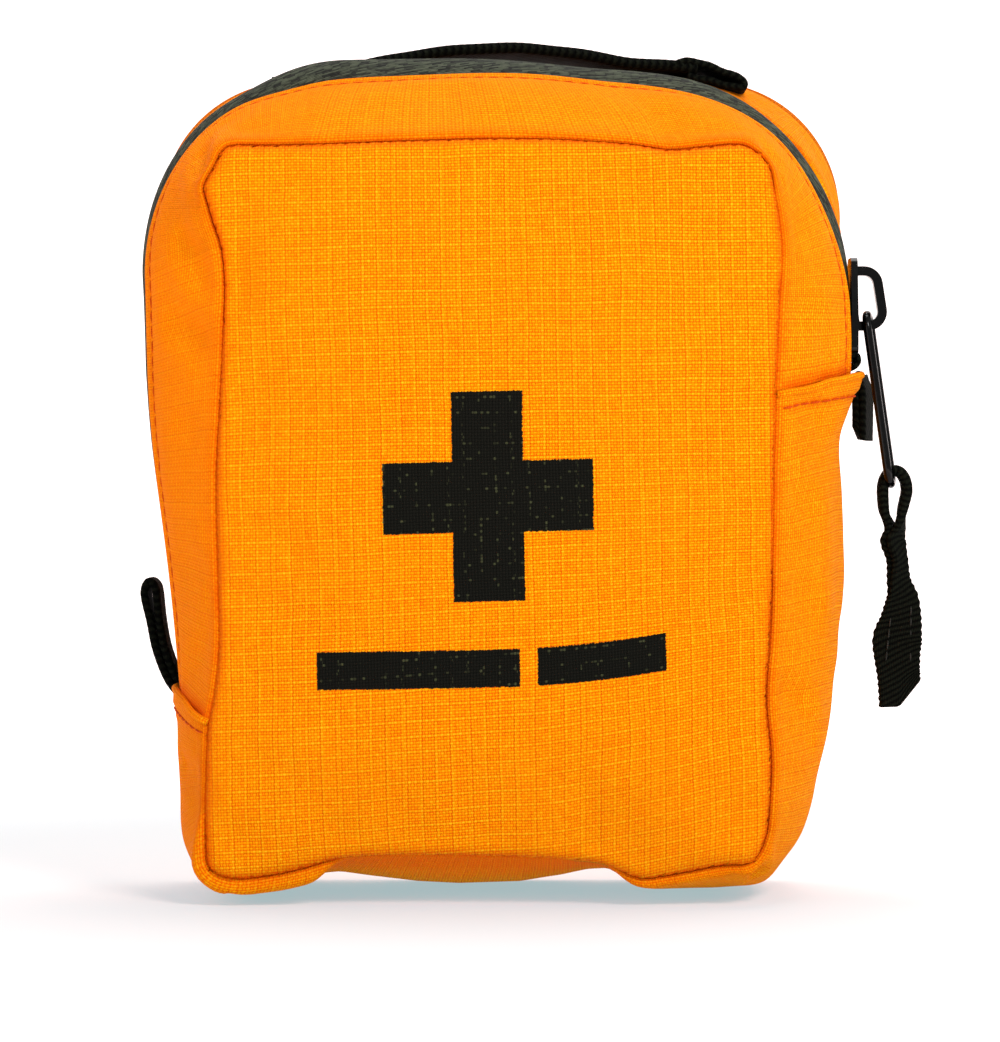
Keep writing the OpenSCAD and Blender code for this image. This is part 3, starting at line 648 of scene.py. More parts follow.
seam_line = stretches(
    right=[(51.6, 96.5), (51.9, 104), (52.4, 114)],
    tr=[(52.8, 123), (52.2, 130), (51.3, 135.5), (50.6, 138.6), (48.9, 140.9), (46.6, 142.6), (44, 143.1),
        (38, 142.6), (31.7, 142.1)],
    top=[(24, 143.2), (12, 144.0), (0, 144.2), (-14, 143.9), (-28, 143.4), (-36, 143.1)],
    tl=[(-44, 142.9), (-50, 142.9), (-52.1, 141.9), (-53.6, 139), (-55.5, 135.4), (-54.9, 132.5),
        (-53.7, 128.3), (-52.3, 124)],
    left=[(-51.6, 117), (-51.9, 108), (-52.5, 95), (-53.2, 80), (-52.8, 62), (-52.6, 50), (-53.4, 41),
          (-54.6, 34.4)],
    low_left=[(-55.0, 27), (-55.2, 18)],
    bl=[(-55.0, 11), (-54.6, 8), (-52.6, 6.2), (-48.5, 5.5), (-42, 6.3)],
    foot=[(-37, 7.4), (-30, 9.2), (-18, 9.8), (0, 9.6), (12, 9.0), (19, 8.3), (26, 5.6), (31, 6.0),
          (36, 6.9)],
    br=[(42, 8.0), (46.3, 8.2), (48.6, 10.2), (50.0, 14), (50.5, 19)],
    low_right=[(50.8, 28), (49.9, 39), (50.5, 50), (50.9, 58), (51.2, 70), (51.3, 80), (51.5, 90),
               (51.6, 96.5)])
LEFT_BULGE = (-68, 92, -1.7, 0, 26)
front_edge_line = nudged(
    outline((66.4, 101), (65.9, 157.8, 44), (-70.9, 158.0, 36), (-61.7, 40), (-59.5, 1.2, 18),
            (60.3, 1.2, 24)),
    [(0, 158, 0, 1.0, 20), (-40, 153, 0.2, -1.4, 9), (26, 156, 0, -1.2, 13), (66.4, 107, 1.4, 0, 17),
     (54, 147, 0.75, 0.75, 13), LEFT_BULGE])
zip_line = nudged(
    outline((RIGHT_X - 1.1, 101), (RIGHT_X - 1.1, TOP_Z + 0.1, 46), (-72.6, TOP_Z + 0.1, 39),
            (-61.9, 40), (-58.5, 0.6, 20), (60, 0.6, 24)),
    [(-5, 162, 0, 0.4, 20), (25, 161, 0, -2.0, 18), (-49, 158, 0.4, -0.8, 10), LEFT_BULGE])
mid_line = nudged(
    outline((RIGHT_X + 0.1, 101), (RIGHT_X, TOP_Z, 47), (-73.4, TOP_Z, 40), (-62.4, 40),
            (-60.6, 0.35, 12), (60.4, 0.35, 22)),
    [(69.5, 101.2, 0.6, 0.3, 3), (68, 88.5, -1.5, 0, 7), (-62, 22, 0.5, 0, 5), (63, 18, -2.0, 0, 12),
     (67, 79, -1.3, 0, 12), (51, 2.5, 0.8, -1.5, 5), LEFT_BULGE])
back_edge_line = nudged(
    outline((66.9, 101), (67.6, 158.8, 36), (-70.4, 159.0, 31), (-61.4, 40), (-59, 0.6, 18),
            (59.5, 0.6, 22)), [LEFT_BULGE])
back_line = nudged(
    outline((65.4, 101), (69.2, 160.2, 26), (-69.4, 160.2, 26), (-60.9, 40), (-57.8, 1.6, 17),
            (57.8, 1.6, 17)),
    [(-31, 1.6, 0, 2.4, 9), (21, 1.6, 0, 2.4, 8)])


def outward(points):
    """Outward directions in x and z along a closed outline."""
    way = unit(np.roll(points, -1, 0) - np.roll(points, 1, 0))
    return np.stack([way[:, 1], -way[:, 0]], 1)


def inset(line, by):
    return line - outward(line) * by


def at_depth(xz, y):
    y = np.broadcast_to(y, len(xz))
    return np.stack([xz[:, 0], y, xz[:, 1]], 1)


def lower(points):
    return np.concatenate([points[UPPER:], points[:1]])


# ---------- the flap's bend ----------
# The flap turns about a line across the front. Here only each point's share of that turn is worked out: it
# rises with its height over the line, later and more slowly towards the zip, whose ends stay put.
BEND_DEPTH = 19.5           # how far in from the front the bend changes to the zip's
BEND_START = -14.0, 14.5    # height over the fold line where the bend starts, at the front and at the zip
BEND_WIDTH = 20.0, 32.0     # height over which it spreads there


def flap_share(points):
    """The flap's share, from 0 to 1, of the motion of each point."""
    up = (points - FOLD_POINT) @ FOLD_UP
    deep = smooth((points[..., 1] - FRONT_Y) / BEND_DEPTH)
    return smooth((up - mix(*BEND_START, deep)) / mix(*BEND_WIDTH, deep))


def share_blend(obj, share):
    """Bakes obj's transform into its points and works out its own share for each point, which is not used."""
    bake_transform(obj)
    co = np.array([v.co for v in obj.data.vertices]) / MM
    share(co).astype(np.float32)
    return obj


def on_flap(obj):
    return share_blend(obj, flap_share)


def on_body(body):
    return lambda obj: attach(obj, body)


on_pouch = on_body("pouch")


def put(obj, slot, place, *covers):
    """Gives a piece its place on the bodies, over the CAD nodes it stands for, and hides those nodes. Its
    material slot is not used.
    """
    if covers:
        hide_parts(*covers)
    place(obj)
    return obj


# ---------- folds in the cloth ----------
def press(grid, normals, strokes):
    """Presses folds into a grid. Each stroke is (from, to, depth, width): a valley if depth is above 0,
    with low shoulders beside it."""
    out = grid.copy()
    for a, b, depth, width in strokes:
        a, b = np.array(a, float), np.array(b, float)
        way = b - a
        t = np.clip(((grid - a) @ way) / (way @ way), 0, 1)
        near = np.linalg.norm(grid - (a + t[..., None] * way), axis=-1) / width
        ends = smooth(np.minimum(t, 1 - t) * 4 + 0.35)
        shape = np.exp(-near**2) - 0.45 * np.exp(-((near - 1.9) / 0.8) ** 2)
        out -= normals * (depth * shape * ends)[..., None]
    return out


# ---------- cloth that settles ----------
def resized(grid, rows, cols):
    """The same grid with another number of rows and columns."""
    for axis, count in ((0, rows), (1, cols)):
        at = np.linspace(0, grid.shape[axis] - 1, count)
        low = np.minimum(at.astype(int), grid.shape[axis] - 2)
        shape = [1] * grid.ndim
        shape[axis] = -1
        grid = mix(np.take(grid, low, axis), np.take(grid, low + 1, axis), (at - low).reshape(shape))
    return grid


def relaxed(grid, passes):
    """A grid with its small kinks smoothed out and its border left in place."""
    grid = grid.copy()
    for _ in range(passes):
        grid[1:-1] = (grid[:-2] + 2 * grid[1:-1] + grid[2:]) / 4
        grid[:, 1:-1] = (grid[:, :-2] + 2 * grid[:, 1:-1] + grid[:, 2:]) / 4
    return grid


SETTLE_SCALE = 10     # the cloth is settled at ten times its size, where the solver is steady
SETTLE_STEPS = 30


def settled(grid, cell, pressure, slack, cap):
    """How far each point of a grid moves when it is let go as cloth, held round its border and pushed
    from behind. cell is the size of the cloth's squares, slack its spare length and cap the largest move."""
    middle = grid.shape[0] // 2, grid.shape[1] // 2
    rows = max(8, int(run_length(grid[:, middle[1]])[-1] / cell))
    cols = max(8, int(run_length(grid[middle[0]])[-1] / cell))
    coarse = resized(grid, rows, cols)
    obj = add_mesh("settling", coarse.reshape(-1, 3) * SETTLE_SCALE, grid_faces(rows, cols), [])
    index = np.arange(rows * cols).reshape(rows, cols)
    border = np.concatenate([index[0], index[-1], index[:, 0], index[:, -1]])
    obj.vertex_groups.new(name="held").add([int(i) for i in border], 1.0, "REPLACE")
    modifier = obj.modifiers.new("cloth", "CLOTH")
    cloth = modifier.settings
    cloth.vertex_group_mass = "held"
    cloth.use_pressure = True
    cloth.uniform_pressure_force = pressure
    cloth.shrink_min = -slack
    cloth.quality = 6
    cloth.tension_stiffness = cloth.compression_stiffness = 40
    cloth.shear_stiffness = 12
    cloth.bending_stiffness = 0.7
    cloth.air_damping = 2
    cloth.effector_weights.gravity = 0
    modifier.collision_settings.use_collision = False
    for step in range(SETTLE_STEPS):
        bpy.context.scene.frame_set(step + 1)
    shown = obj.evaluated_get(bpy.context.evaluated_depsgraph_get())
    co = np.array([v.co for v in shown.data.vertices]).reshape(rows, cols, 3) / MM / SETTLE_SCALE
    mesh = obj.data
    bpy.data.objects.remove(obj)
    bpy.data.meshes.remove(mesh)
    bpy.context.scene.frame_set(1)
    move = relaxed(resized(co - coarse, *grid.shape[:2]), 3)
    return move * min(1, cap / np.abs(move).max())


# ---------- front panel ----------
def coons(bottom, top, left, right):
    """Grid that fills four side curves. bottom and top share columns, left and right share rows."""
    u = np.linspace(0, 1, len(bottom))[None, :, None]
    v = np.linspace(0, 1, len(left))[:, None, None]
    flat = (mix(mix(bottom[0], bottom[-1], u), mix(top[0], top[-1], u), v))
    return mix(bottom[None], top[None], v) + mix(left[:, None], right[:, None], u) - flat


FRONT_CELL = 0.85     # size of the front panel's squares


def front_grid(cell):
    """Flat x, z grid that fills the seam line, split at its four corners."""
    middle = np.array([0, 75.0])
    stops = {}
    for name, way in (("tr", (1, 1)), ("tl", (-1, 1)), ("bl", (-1, -1)), ("br", (1, -1))):
        stops[name] = int(np.argmax((seam_line - middle) @ np.array(way)))
    ring = lambda a, b: seam_line[np.arange(a, b if b > a else b + AROUND) % AROUND]
    top = ring(stops["tr"], stops["tl"] + 1)[::-1]
    left = ring(stops["tl"], stops["bl"] + 1)[::-1]
    foot = ring(stops["bl"], stops["br"] + 1)
    right = ring(stops["br"], stops["tr"] + 1)
    cols = int(run_length(foot)[-1] / cell)
    rows = int(run_length(left)[-1] / cell)
    return coons(resample(foot, cols), resample(top, cols), resample(left, rows), resample(right, rows))


def distance_to(points, line):
    """Distance of each point from the nearest point of a line."""
    best = np.full(points.shape[:-1], 1e9)
    for p in line:
        best = np.minimum(best, ((points - p) ** 2).sum(-1))
    return np.sqrt(best)


def crown(u, v):
    """Height, from 0 to 1, of a cushion over a unit square."""
    return ((1 - np.abs(2 * u - 1) ** 2.3) * (1 - np.abs(2 * v - 1) ** 2.5)) ** 0.85


# Folds of the front panel: from and to in x and z, depth and width.
FRONT_FOLDS = [
    ((0, 140), (9, 127), 0.8, 4.5), ((36, 131), (30, 113), 0.9, 5.0), ((24, 139), (27, 132), 0.5, 3.5),
    ((-50, 126), (-50, 110), 1.7, 3.8), ((-49, 110), (-46, 78), 0.6, 5.0), ((-49, 73), (-36, 66), 0.9, 4.0),
    ((-50, 62), (-40, 52), 0.5, 4.0), ((-44, 139), (-34, 131), 0.6, 3.0), ((44, 140), (35, 134), 0.6, 3.0),
    ((49, 66), (43, 58), 0.5, 3.5), ((46, 16), (36, 26), 0.8, 4.5), ((-50, 12), (-40, 22), 0.7, 4.0),
    ((20, 9), (12, 26), 0.5, 6.0), ((-26, 12), (-30, 28), 0.4, 6.0), ((48, 112), (46, 96), -0.5, 4.0),
    ((25, 30), (30, 22), -0.5, 7.0), ((-20, 118), (-10, 96), -0.3, 8.0)]


def tightness(x, z):
    """How hard the seam of the front panel is drawn in at a place, from 0 to 1."""
    right = smooth((67 - z) / 8) + smooth((z - 133) / 5)
    left = smooth((z - 107) / 6) + smooth((20 - z) / 8)
    return np.clip(np.where(x > 0, right, left), 0, 1)


def front_heights(flat, u, v, edge):
    """Depth of the front panel's face: rolled at its seam, crowned, and with folds."""
    reach = mix(5.0, 2.6, tightness(flat[..., 0], flat[..., 1]))
    roll = 2.5 * np.sqrt(1 - (1 - np.clip(edge / reach, 0, 1)) ** 2)
    swell = 2.6 * crown(u, v) * smooth(edge / 30 + 0.1)
    points = np.stack([flat[..., 0], SEAM_Y - roll - swell, flat[..., 1]], -1)
    inward = np.zeros_like(points)
    inward[..., 1] = -1
    strokes = [((a[0], FRONT_Y, a[1]), (b[0], FRONT_Y, b[1]), d, w) for a, b, d, w in FRONT_FOLDS]
    flat_points = points.copy()
    flat_points[..., 1] = FRONT_Y
    moved = press(flat_points, inward, strokes) - flat_points
    calm = smooth(edge / 3)
    points += moved * calm[..., None]
    pucker = ripple(flat_points, 9, 3) * np.exp(-edge / 7) * 0.35 * calm
    slack = ripple(flat_points, 34, 5) * 0.35 + ripple(flat_points, 15, 8) * 0.1
    points[..., 1] += pucker + slack * calm
    return points


def front_panel():
    """The front panel with its print. Returns the grid of its outer face."""
    flat = front_grid(FRONT_CELL)
    rows, cols = flat.shape[:2]
    v, u = np.meshgrid(np.linspace(0, 1, rows), np.linspace(0, 1, cols), indexing="ij")
    edge = distance_to(flat, resample(np.concatenate([seam_line, seam_line[:1]]), 900))
    outer = front_heights(flat, u, v, edge)
    outer = outer + settled(outer, 2.0, 1.5, 0.012, 3.4) * smooth(edge / 4)[..., None]
    x, z = flat[..., 0], flat[..., 1]
    grain = 0.02 + 0.05 * smooth((95 - z) / 60) + 0.06 * smooth((x - 5) / 40) * smooth((80 - z) / 60)
    uv = np.stack([x + 0.02 * z, z - grain * (x + 20)], -1)
    low = smooth((62 - z) / 8)
    art = np.stack([x + 0.015 * (z - CROSS[1]),
                    z - 0.022 * (x - CROSS[0]) - low * (0.0024 * np.maximum(0, x) ** 2 + 0.3)], -1)
    # Painted shade: the panel is coloured deep red-orange within about a millimetre of its seam, where the
    # seam's crease is in shade.
    shade = 0.85 * np.exp(-(edge / 0.8) ** 1.6) * (0.8 + 0.2 * ripple(outer, 7, 102))
    panel = sheet("front_panel_cloth", outer, PANEL_THICK, uv, [PRINTED, REVERSE], art=art,
                  round_edge=False, shade=shade)
    put(panel, "ripstop_orange", on_flap, "front_panel", "front_panel_lower", "print_upper",
        "print_lower")
    # The seam round the panel is bound on the inside. The binding has the dark reverse colour, and where it
    # shows through the seam it stands as painted shade in the crease.
    bound = at_depth(inset(seam_line, 0.6), SEAM_Y + 0.95)
    bound = resample(np.concatenate([bound, bound[:1]]), 520)
    on_flap(tube("front_seam_binding", bound, 1.0, REVERSE, sides=10))
    return outer


# ---------- gussets ----------
def gusset_grid(seam, edge, seam_y, edge_y, rows, lip=1.0, tight=1.0):
    """Grid from the seam to the far edge: a rolled lip at the seam, then a curve that ends level."""
    away = outward(seam)
    side = 1 if edge_y > seam_y else -1
    grid = []
    for s in np.linspace(0, 1, rows) ** 1.25:
        xz = seam + (edge - seam) * math.sin(0.95 * s) / math.sin(0.95)
        xz = xz + away * (lip * (1 - math.exp(-s / 0.035)) * (1 - s) ** 2)
        front = mix(0.5, 1.3, tight) * (s / 0.05) * math.exp(1 - s / 0.05) * side
        grid.append(at_depth(xz, mix(seam_y, edge_y, s) - front))
    return np.array(grid)


def cloth_uv(grid, along):
    """Cloth coordinates of a gusset: across it by its own width, along it by one shared run."""
    width = width_run(grid)
    return np.stack([np.broadcast_to(along[None], width.shape), width], -1)


PANEL_THICK, GUSSET_THICK, LOWER_THICK = 0.9, 1.0, 1.2
HEM = 1.9                               # from the cloth's edge beside the zip to its stitches
SEAM_STITCH = (2.9, 2.4, 0.17)          # pitch, length and radius of the stitches in the orange cloth
# The upper gussets reach a little way in under the hems of the lower one.
TUCK = 3
UPPER_POINTS = np.arange(-TUCK, UPPER + 1 + TUCK) % AROUND
ZIP_RUN = run_length(mid_line[UPPER_POINTS])

# Folds of the gussets: from, to, depth and width.
UPPER_FOLDS = [
    ((-60, -16, 128), (-56, -24, 118), 1.0, 3.0), ((-61, -12, 112), (-56, -22, 106), 0.9, 3.0),
    ((-60, -14, 92), (-56, -20, 88), 0.5, 3.5), ((-56, -15, 143), (-55, -24, 137), 0.9, 2.6),
    ((54, -18, 145), (51, -24, 141), 1.1, 2.6), ((61, -14, 131), (56, -23, 127), 0.5, 3.0),
    ((62, -14, 108), (56, -22, 112), 0.7, 3.2), ((30, -17, 152), (32, -24, 146), 0.7, 3.0),
    ((-20, -17, 154), (-24, -24, 147), 0.35, 4.0), ((64, -10, 112), (60, -16, 103), 0.5, 2.6)]

LOWER_FOLDS = [
    ((62, -14, 92), (55, -22, 96), 0.9, 2.6), ((66, -6, 80), (66, -4, 52), 0.9, 4.5),
    ((60, -16, 74), (54, -22, 78), 0.7, 3.0), ((55, -22, 62), (57, -14, 52), 0.6, 3.4),
    ((53, -24, 42), (58, -16, 38), 1.2, 2.2), ((54, -22, 36), (60, -12, 30), 0.6, 3.0),
    ((48.0, -25, 10), (49.2, -18, 3.0), 1.8, 1.5), ((-53, -25, 7), (-49.5, -21, 2.2), 0.9, 1.4),
    ((44, -25, 6.5), (46, -19, 3), 0.5, 1.6),
    ((-61, -10, 26), (-57, -20, 24), 0.9, 2.6), ((-60, 2, 14), (-58, 14, 22), 0.6, 4.0),
    ((62, 6, 40), (60, 18, 70), 0.8, 5.0), ((64, 10, 20), (60, 20, 30), 0.7, 4.0),
    ((-62, 8, 30), (-60, 20, 12), 0.6, 4.0)]


def soften(grid, normals, size, amount, seed, hold):
    """Adds slack to cloth, held still where hold is 0."""
    swell = ripple(grid, size, seed) * amount + ripple(grid, size / 3, seed + 1) * amount * 0.25
    return grid + normals * (swell * hold)[..., None]


def held_at_ends(grid, across=3.0):
    """1 in the middle of a grid's rows, 0 at its first and last rows, with a slope set by across."""
    rows = np.linspace(0, 1, grid.shape[0])[:, None]
    return np.broadcast_to(smooth(np.minimum(rows, 1 - rows) * across), grid.shape[:2])


def tucked(grid, normals):
    """A gusset with its two ends pushed in under the hems."""
    beyond = np.clip(TUCK - np.arange(grid.shape[1]), 0, None) / TUCK
    beyond = np.maximum(beyond, beyond[::-1])
    return grid - normals * (0.5 * beyond)[None, :, None]


def front_gusset_grid():
    """The front gusset's outer face, from its seam with the panel to its edge beside the zip."""
    grid = gusset_grid(seam_line, front_edge_line, SEAM_Y, -ZIP_EDGE, 30,
                       tight=tightness(seam_line[:, 0], seam_line[:, 1]))[:, UPPER_POINTS]
    normals = -grid_normals(grid)
    hold = held_at_ends(grid, 4)
    grid = mix(grid, press(grid, normals, UPPER_FOLDS), hold[..., None])
    grid = grid + settled(grid[::-1], 1.9, 2.0, 0.02, 1.3)[::-1] * hold[..., None]
    return tucked(soften(grid, normals, 26, 0.25, 11, hold), normals)


def stitch_part(path, normals, pitch, length, radius):
    """Run of separate stitches along a path, each bowed out of the cloth."""
    run = run_length(path)
    normals = np.broadcast_to(np.asarray(normals, float), path.shape)
    parts = []
    for start in np.arange(0.4, run[-1] - length, pitch):
        at = start + np.linspace(0, length, 6)
        bow = np.sin(np.linspace(0, math.pi, 6)) * radius
        spot = values_at(at, run, path)
        out = unit(values_at(at, run, normals))
        spine = spot + out * (bow - radius * 0.5)[:, None]
        thick = radius * np.array([0.55, 0.95, 1, 1, 0.95, 0.55])
        parts.append(tube_part(spine, thick, sides=6, up=out[3]))
    return parts


def width_run(grid):
    """Distance of each point of a grid from its first row."""
    steps = np.linalg.norm(np.diff(grid, axis=0), axis=-1)
    return np.concatenate([np.zeros((1, grid.shape[1])), np.cumsum(steps, axis=0)])


def row_at(grid, back):
    """Run along a grid at a distance `back` from its last row."""
    flipped = grid[::-1]
    reach = width_run(flipped)
    return np.stack([[np.interp(back, reach[:, c], flipped[:, c, i]) for i in range(3)]
                     for c in range(grid.shape[1])])


def dent_along(grid, normals, path, depth, width):
    """A narrow groove in a grid along a path, where stitches pull the cloth down."""
    return grid - normals * (depth * np.exp(-(near_line(grid, path) / width) ** 2))[..., None]


def near_line(grid, path):
    """Distance of each grid point from a path."""
    return distance_to(grid, resample(path, max(60, int(run_length(path)[-1] / 0.6))))


def painted_seam_shade(grid, *lines):
    """Painted shade of the cloth beside its seams and other lines, where their creases and grooves are in
    shade: how much each point is coloured darker. Each line is a path, its strength and its width.
    """
    shade = np.zeros(grid.shape[:2])
    for path, strength, width in lines:
        patchy = 0.8 + 0.2 * ripple(grid, 7, 101)
        shade = np.maximum(shade, strength * patchy * np.exp(-(near_line(grid, path) / width) ** 1.6))
    return shade


def outward_from_pouch(path):
    """Direction away from the inside of the pouch at each point of a path on its gussets."""
    return unit((path - [0, 0, 80.0]) * [1, 0.25, 1])


def stitch_row(name, path, sink):
    """Stitches along a path on a gusset, sunk a little into its cloth."""
    out = outward_from_pouch(path)
    return joined(name, stitch_part(path - out * sink, out, *SEAM_STITCH), THREAD_ORANGE)


def upper_gusset(name, grid, side, edges, place):
    """One upper gusset from its grid, whose normals point in if side is -1. edges gives the grid's
    seams, for the painted shade beside them."""
    path = row_at(grid, HEM)
    grid = dent_along(grid, side * grid_normals(grid), path, 0.4, 0.6)
    # Painted shade beside the seam, along the stitch groove and inside each hem.
    shade = painted_seam_shade(grid, (path, 0.95, 0.5), *edges(grid))
    outer, uv, shade = (a[::side] for a in (grid, cloth_uv(grid, ZIP_RUN), shade))
    gusset = sheet(f"{name}_cloth", outer, GUSSET_THICK, uv, [ORANGE, REVERSE], shade=shade)
    put(gusset, "ripstop_orange", place, name)
    place(stitch_row(f"{name}_stitches", path, 0.28))


def upper_gussets():
    upper_gusset("front_gusset", front_gusset_grid(), -1, lambda grid: [
        (grid[0], 0.95, 1.7), (grid[:, TUCK + 1], 0.9, 1.5), (grid[:, -TUCK - 2], 0.9, 1.5)], on_flap)
    back = gusset_grid(back_line, back_edge_line, BACK_SEAM_Y, ZIP_EDGE, 26, lip=1.1)[:, UPPER_POINTS]
    normals = grid_normals(back)
    hold = held_at_ends(back, 4)
    back = back + settled(back, 1.9, 2.0, 0.02, 1.3) * hold[..., None]
    back = tucked(soften(back, normals, 30, 0.25, 21, hold), normals)
    upper_gusset("back_gusset", back, 1, lambda grid: [(grid[0], 0.3, 0.8)], on_pouch)


def lower_gusset():
    """The band round the foot, over the full depth of the pouch, with a hem at each end."""
    seam, mid, back = lower(seam_line), lower(mid_line), lower(back_line)
    away_seam, away_back = lower(outward(seam_line)), lower(outward(back_line))
    # Between its two feet the pouch's foot sags, and it is drawn up most where each foot begins.
    on_foot = smooth((14 - mid[:, 1]) / 10)
    arch = smooth((mid[:, 0] + 42) / 9) * smooth((29 - mid[:, 0]) / 9) * on_foot
    lift = on_foot * np.interp(mid[:, 0], (-46, -40, -35, -31, -25, -16, -8, 4, 12, 17, 21, 25, 31),
                               (0.5, 1.8, 3.9, 4.3, 3.4, 2.3, 1.9, 2.3, 3.7, 5.0, 5.3, 3.2, 1.2))
    mid = mid + lift[:, None] * [0, 1]
    grid = []

    def half(steps, seam, away, seam_y, lip, front):
        """Rows from the seam at one face of the pouch to the middle of its depth: a rolled lip at
        the seam, then a curve."""
        for s in steps ** 1.25:
            xz = seam + (mid - seam) * math.sin(math.pi / 2 * s) ** 0.9
            xz = xz + away * (lip * (1 - math.exp(-s / 0.03)) * (1 - s) ** 2)[:, None]
            grid.append(at_depth(xz, mix(seam_y, 0.0, s) + front * (s / 0.04) * math.exp(1 - s / 0.04)))

    lip = 1.0 + np.where(seam[:, 0] < 0, 2.4, 0.9) * on_foot * (1 - arch) - arch
    front = mix(0.5, 1.3, tightness(seam[:, 0], seam[:, 1])) * (1 - 0.9 * arch)
    half(np.linspace(0, 1, 34, endpoint=False), seam, away_seam, SEAM_Y, lip, -front)
    half(np.linspace(1, 0, 34), back, away_back, BACK_SEAM_Y, np.ones(len(mid)), 1.1)
    grid = np.array(grid)
    normals = -grid_normals(grid)
    hold = held_at_ends(grid, 8)
    grid = mix(grid, press(grid, normals, LOWER_FOLDS), hold[..., None])
    free = hold * smooth((grid[..., 2] - 3) / 12)
    grid = grid + settled(grid[::-1], 2.4, 1.6, 0.02, 1.6)[::-1] * free[..., None]
    grid = soften(grid, normals, 30, 0.3, 31, free)
    # The hemmed ends stand over the upper gussets.
    run = run_length(mid)
    from_end = np.minimum(run, run[-1] - run)
    rise = 0.9 * smooth((7 - from_end) / 5)
    grid += -grid_normals(grid) * rise[None, :, None] * hold[..., None]
    paths = [grid[:, np.argmin(np.abs(run - 4.1))], grid[:, np.argmin(np.abs(run[-1] - run - 4.1))]]
    for path in paths:
        grid = dent_along(grid, -grid_normals(grid), path, 0.35, 0.6)
    grid[..., 2] = np.maximum(grid[..., 2], 0.15)
    uv = cloth_uv(grid, run)
    # Painted shade beside both seams and along the two hems' stitch grooves.
    shade = painted_seam_shade(grid, (grid[0], 0.95, 1.7), (grid[-1], 0.3, 0.8), *((p, 0.95, 0.55) for p in paths))
    # Painted shadow on the sagging underside between the feet, strongest near the front seam.
    shade = np.maximum(shade, 0.75 * arch[None] * smooth((SEAM_Y + 16 - grid[..., 1]) / 14))
    gusset = sheet("lower_gusset_cloth", grid[::-1], LOWER_THICK, uv[::-1], [ORANGE, REVERSE],
                   shade=shade[::-1])
    put(gusset, "ripstop_orange", on_flap, "lower_gusset")
    for name, path, edge, near in (("left", paths[0], grid[:, 0], grid[:, 1]),
                                   ("right", paths[1], grid[:, -1], grid[:, -2])):
        on_flap(stitch_row(f"lower_gusset_stitches_{name}", resample(path[2:-2], 80), 0.2))
        # The folded edge of the hem is a soft roll along the end.
        roll = edge[1:-1] + unit(near - edge)[1:-1] * 0.2
        roll = roll - outward_from_pouch(roll) * 0.35
        on_flap(tube(f"lower_gusset_hem_{name}", resample(roll, 70), 0.75, ORANGE, sides=10))


# ---------- back panel ----------
def back_panel():
    """The back, rolled over at its seam."""
    grid = []
    for t in np.arange(47) / 46:
        xz = mix(back_line, back_line.mean(0), t ** 1.1)
        edge = np.linalg.norm(back_line - xz, axis=1)
        roll = 1.9 * np.sqrt(1 - (1 - np.clip(edge / 2.4, 0, 1)) ** 2)
        points = at_depth(xz, BACK_SEAM_Y + roll)
        points[:, 1] -= (0.2 + 0.2 * ripple(points, 30, 41)) * smooth(t * 6)
        grid.append(points)
    grid = np.array(grid)
    grid = np.concatenate([grid, grid[:, :1]], 1)
    panel = sheet("back_panel_cloth", grid[::-1], 1.0, grid[::-1, :, ::2], [ORANGE, LINING],
                  round_edge=False)
    put(panel, "ripstop_orange", on_pouch, "back_panel")


# ---------- zip ----------
def band(edge, side):
    """Grid of one half of the zip's cloth, from under the gusset's edge to the zip's middle."""
    away = outward(edge)
    grid = []
    for y in np.linspace(8.4, 0.25, 18):
        lift = math.sin(math.pi / 2 * min(1, max(0, (6.9 - y) / 6.6))) ** 0.8
        xz = mix(edge - (1.25 + max(0, y - ZIP_EDGE) * 0.9) * away, zip_line, lift)
        if side > 0:
            # The back gusset stands away from the tape round the top right corner.
            loose = np.exp(-((zip_line - [61, 139]) ** 2).sum(1) / 17**2)
            xz = xz - away * (2.4 * loose * smooth((y - 0.8) / 2.5))[:, None]
        grid.append(at_depth(xz, side * y))
    return np.array(grid)[:, :UPPER + 1]


# Each half of the zip: its side, its name, the cloth's edge beside it and how it rides.
ZIP_HALVES = ((-1, "front", front_edge_line, on_flap), (1, "back", back_edge_line, on_pouch))


def zip_covers(name, piece):
    """The CAD nodes of one half of the zip. The front half has a short end of its own."""
    return (f"{name}_zip_{piece}",) + ((f"front_{piece}_end",) if name == "front" else ())


TAPE_THICK = 0.6
COIL_PITCH, COIL_WIRE = 1.3, 0.3     # pitch of the coils' turns, and radius of their wire


def zip_tapes():
    run = run_length(mid_line[:UPPER + 1])
    for side, name, edge, place in ZIP_HALVES:
        grid = band(edge, side)
        uv = cloth_uv(grid, run)[..., ::-1]
        if side < 0:
            grid, uv = grid[::-1], uv[::-1]
        grid = soften(grid, grid_normals(grid), 12, 0.12, 51, held_at_ends(grid))
        tape = sheet(f"zip_tape_{name}", grid, TAPE_THICK, uv, [ZIP_TAPE])
        put(tape, "zip_tape", place, *zip_covers(name, "tape"))


def zip_coils():
    """The two rows of coil, wound behind the tapes' edges."""
    line = at_depth(zip_line - 1.9 * outward(zip_line), 0)[:UPPER + 1]
    away = at_depth(outward(zip_line), 0)[:UPPER + 1]
    turns = int(run_length(line)[-1] / COIL_PITCH)
    count = turns * 9
    path, out = resample(line, count), resample(away, count)
    turn = np.linspace(0, 2 * math.pi * turns, count)[:, None]
    for side, name, _, place in ZIP_HALVES:
        spine = path + out * 0.62 * np.cos(turn) + [0, 1, 0] * (side * 1.35 + np.sin(turn) * side)
        ring, uv = tube_arrays(spine, COIL_WIRE, sides=5, up=out[count // 2])
        faces = grid_faces(*ring.shape[:2], wrap_cols=True)[:, ::-1]
        coil = add_mesh(f"zip_coil_{name}", ring.reshape(-1, 3), list(faces), [COIL], uv=uv.reshape(-1, 2))
        put(coil, "zip_coil", place, *zip_covers(name, "coil"))


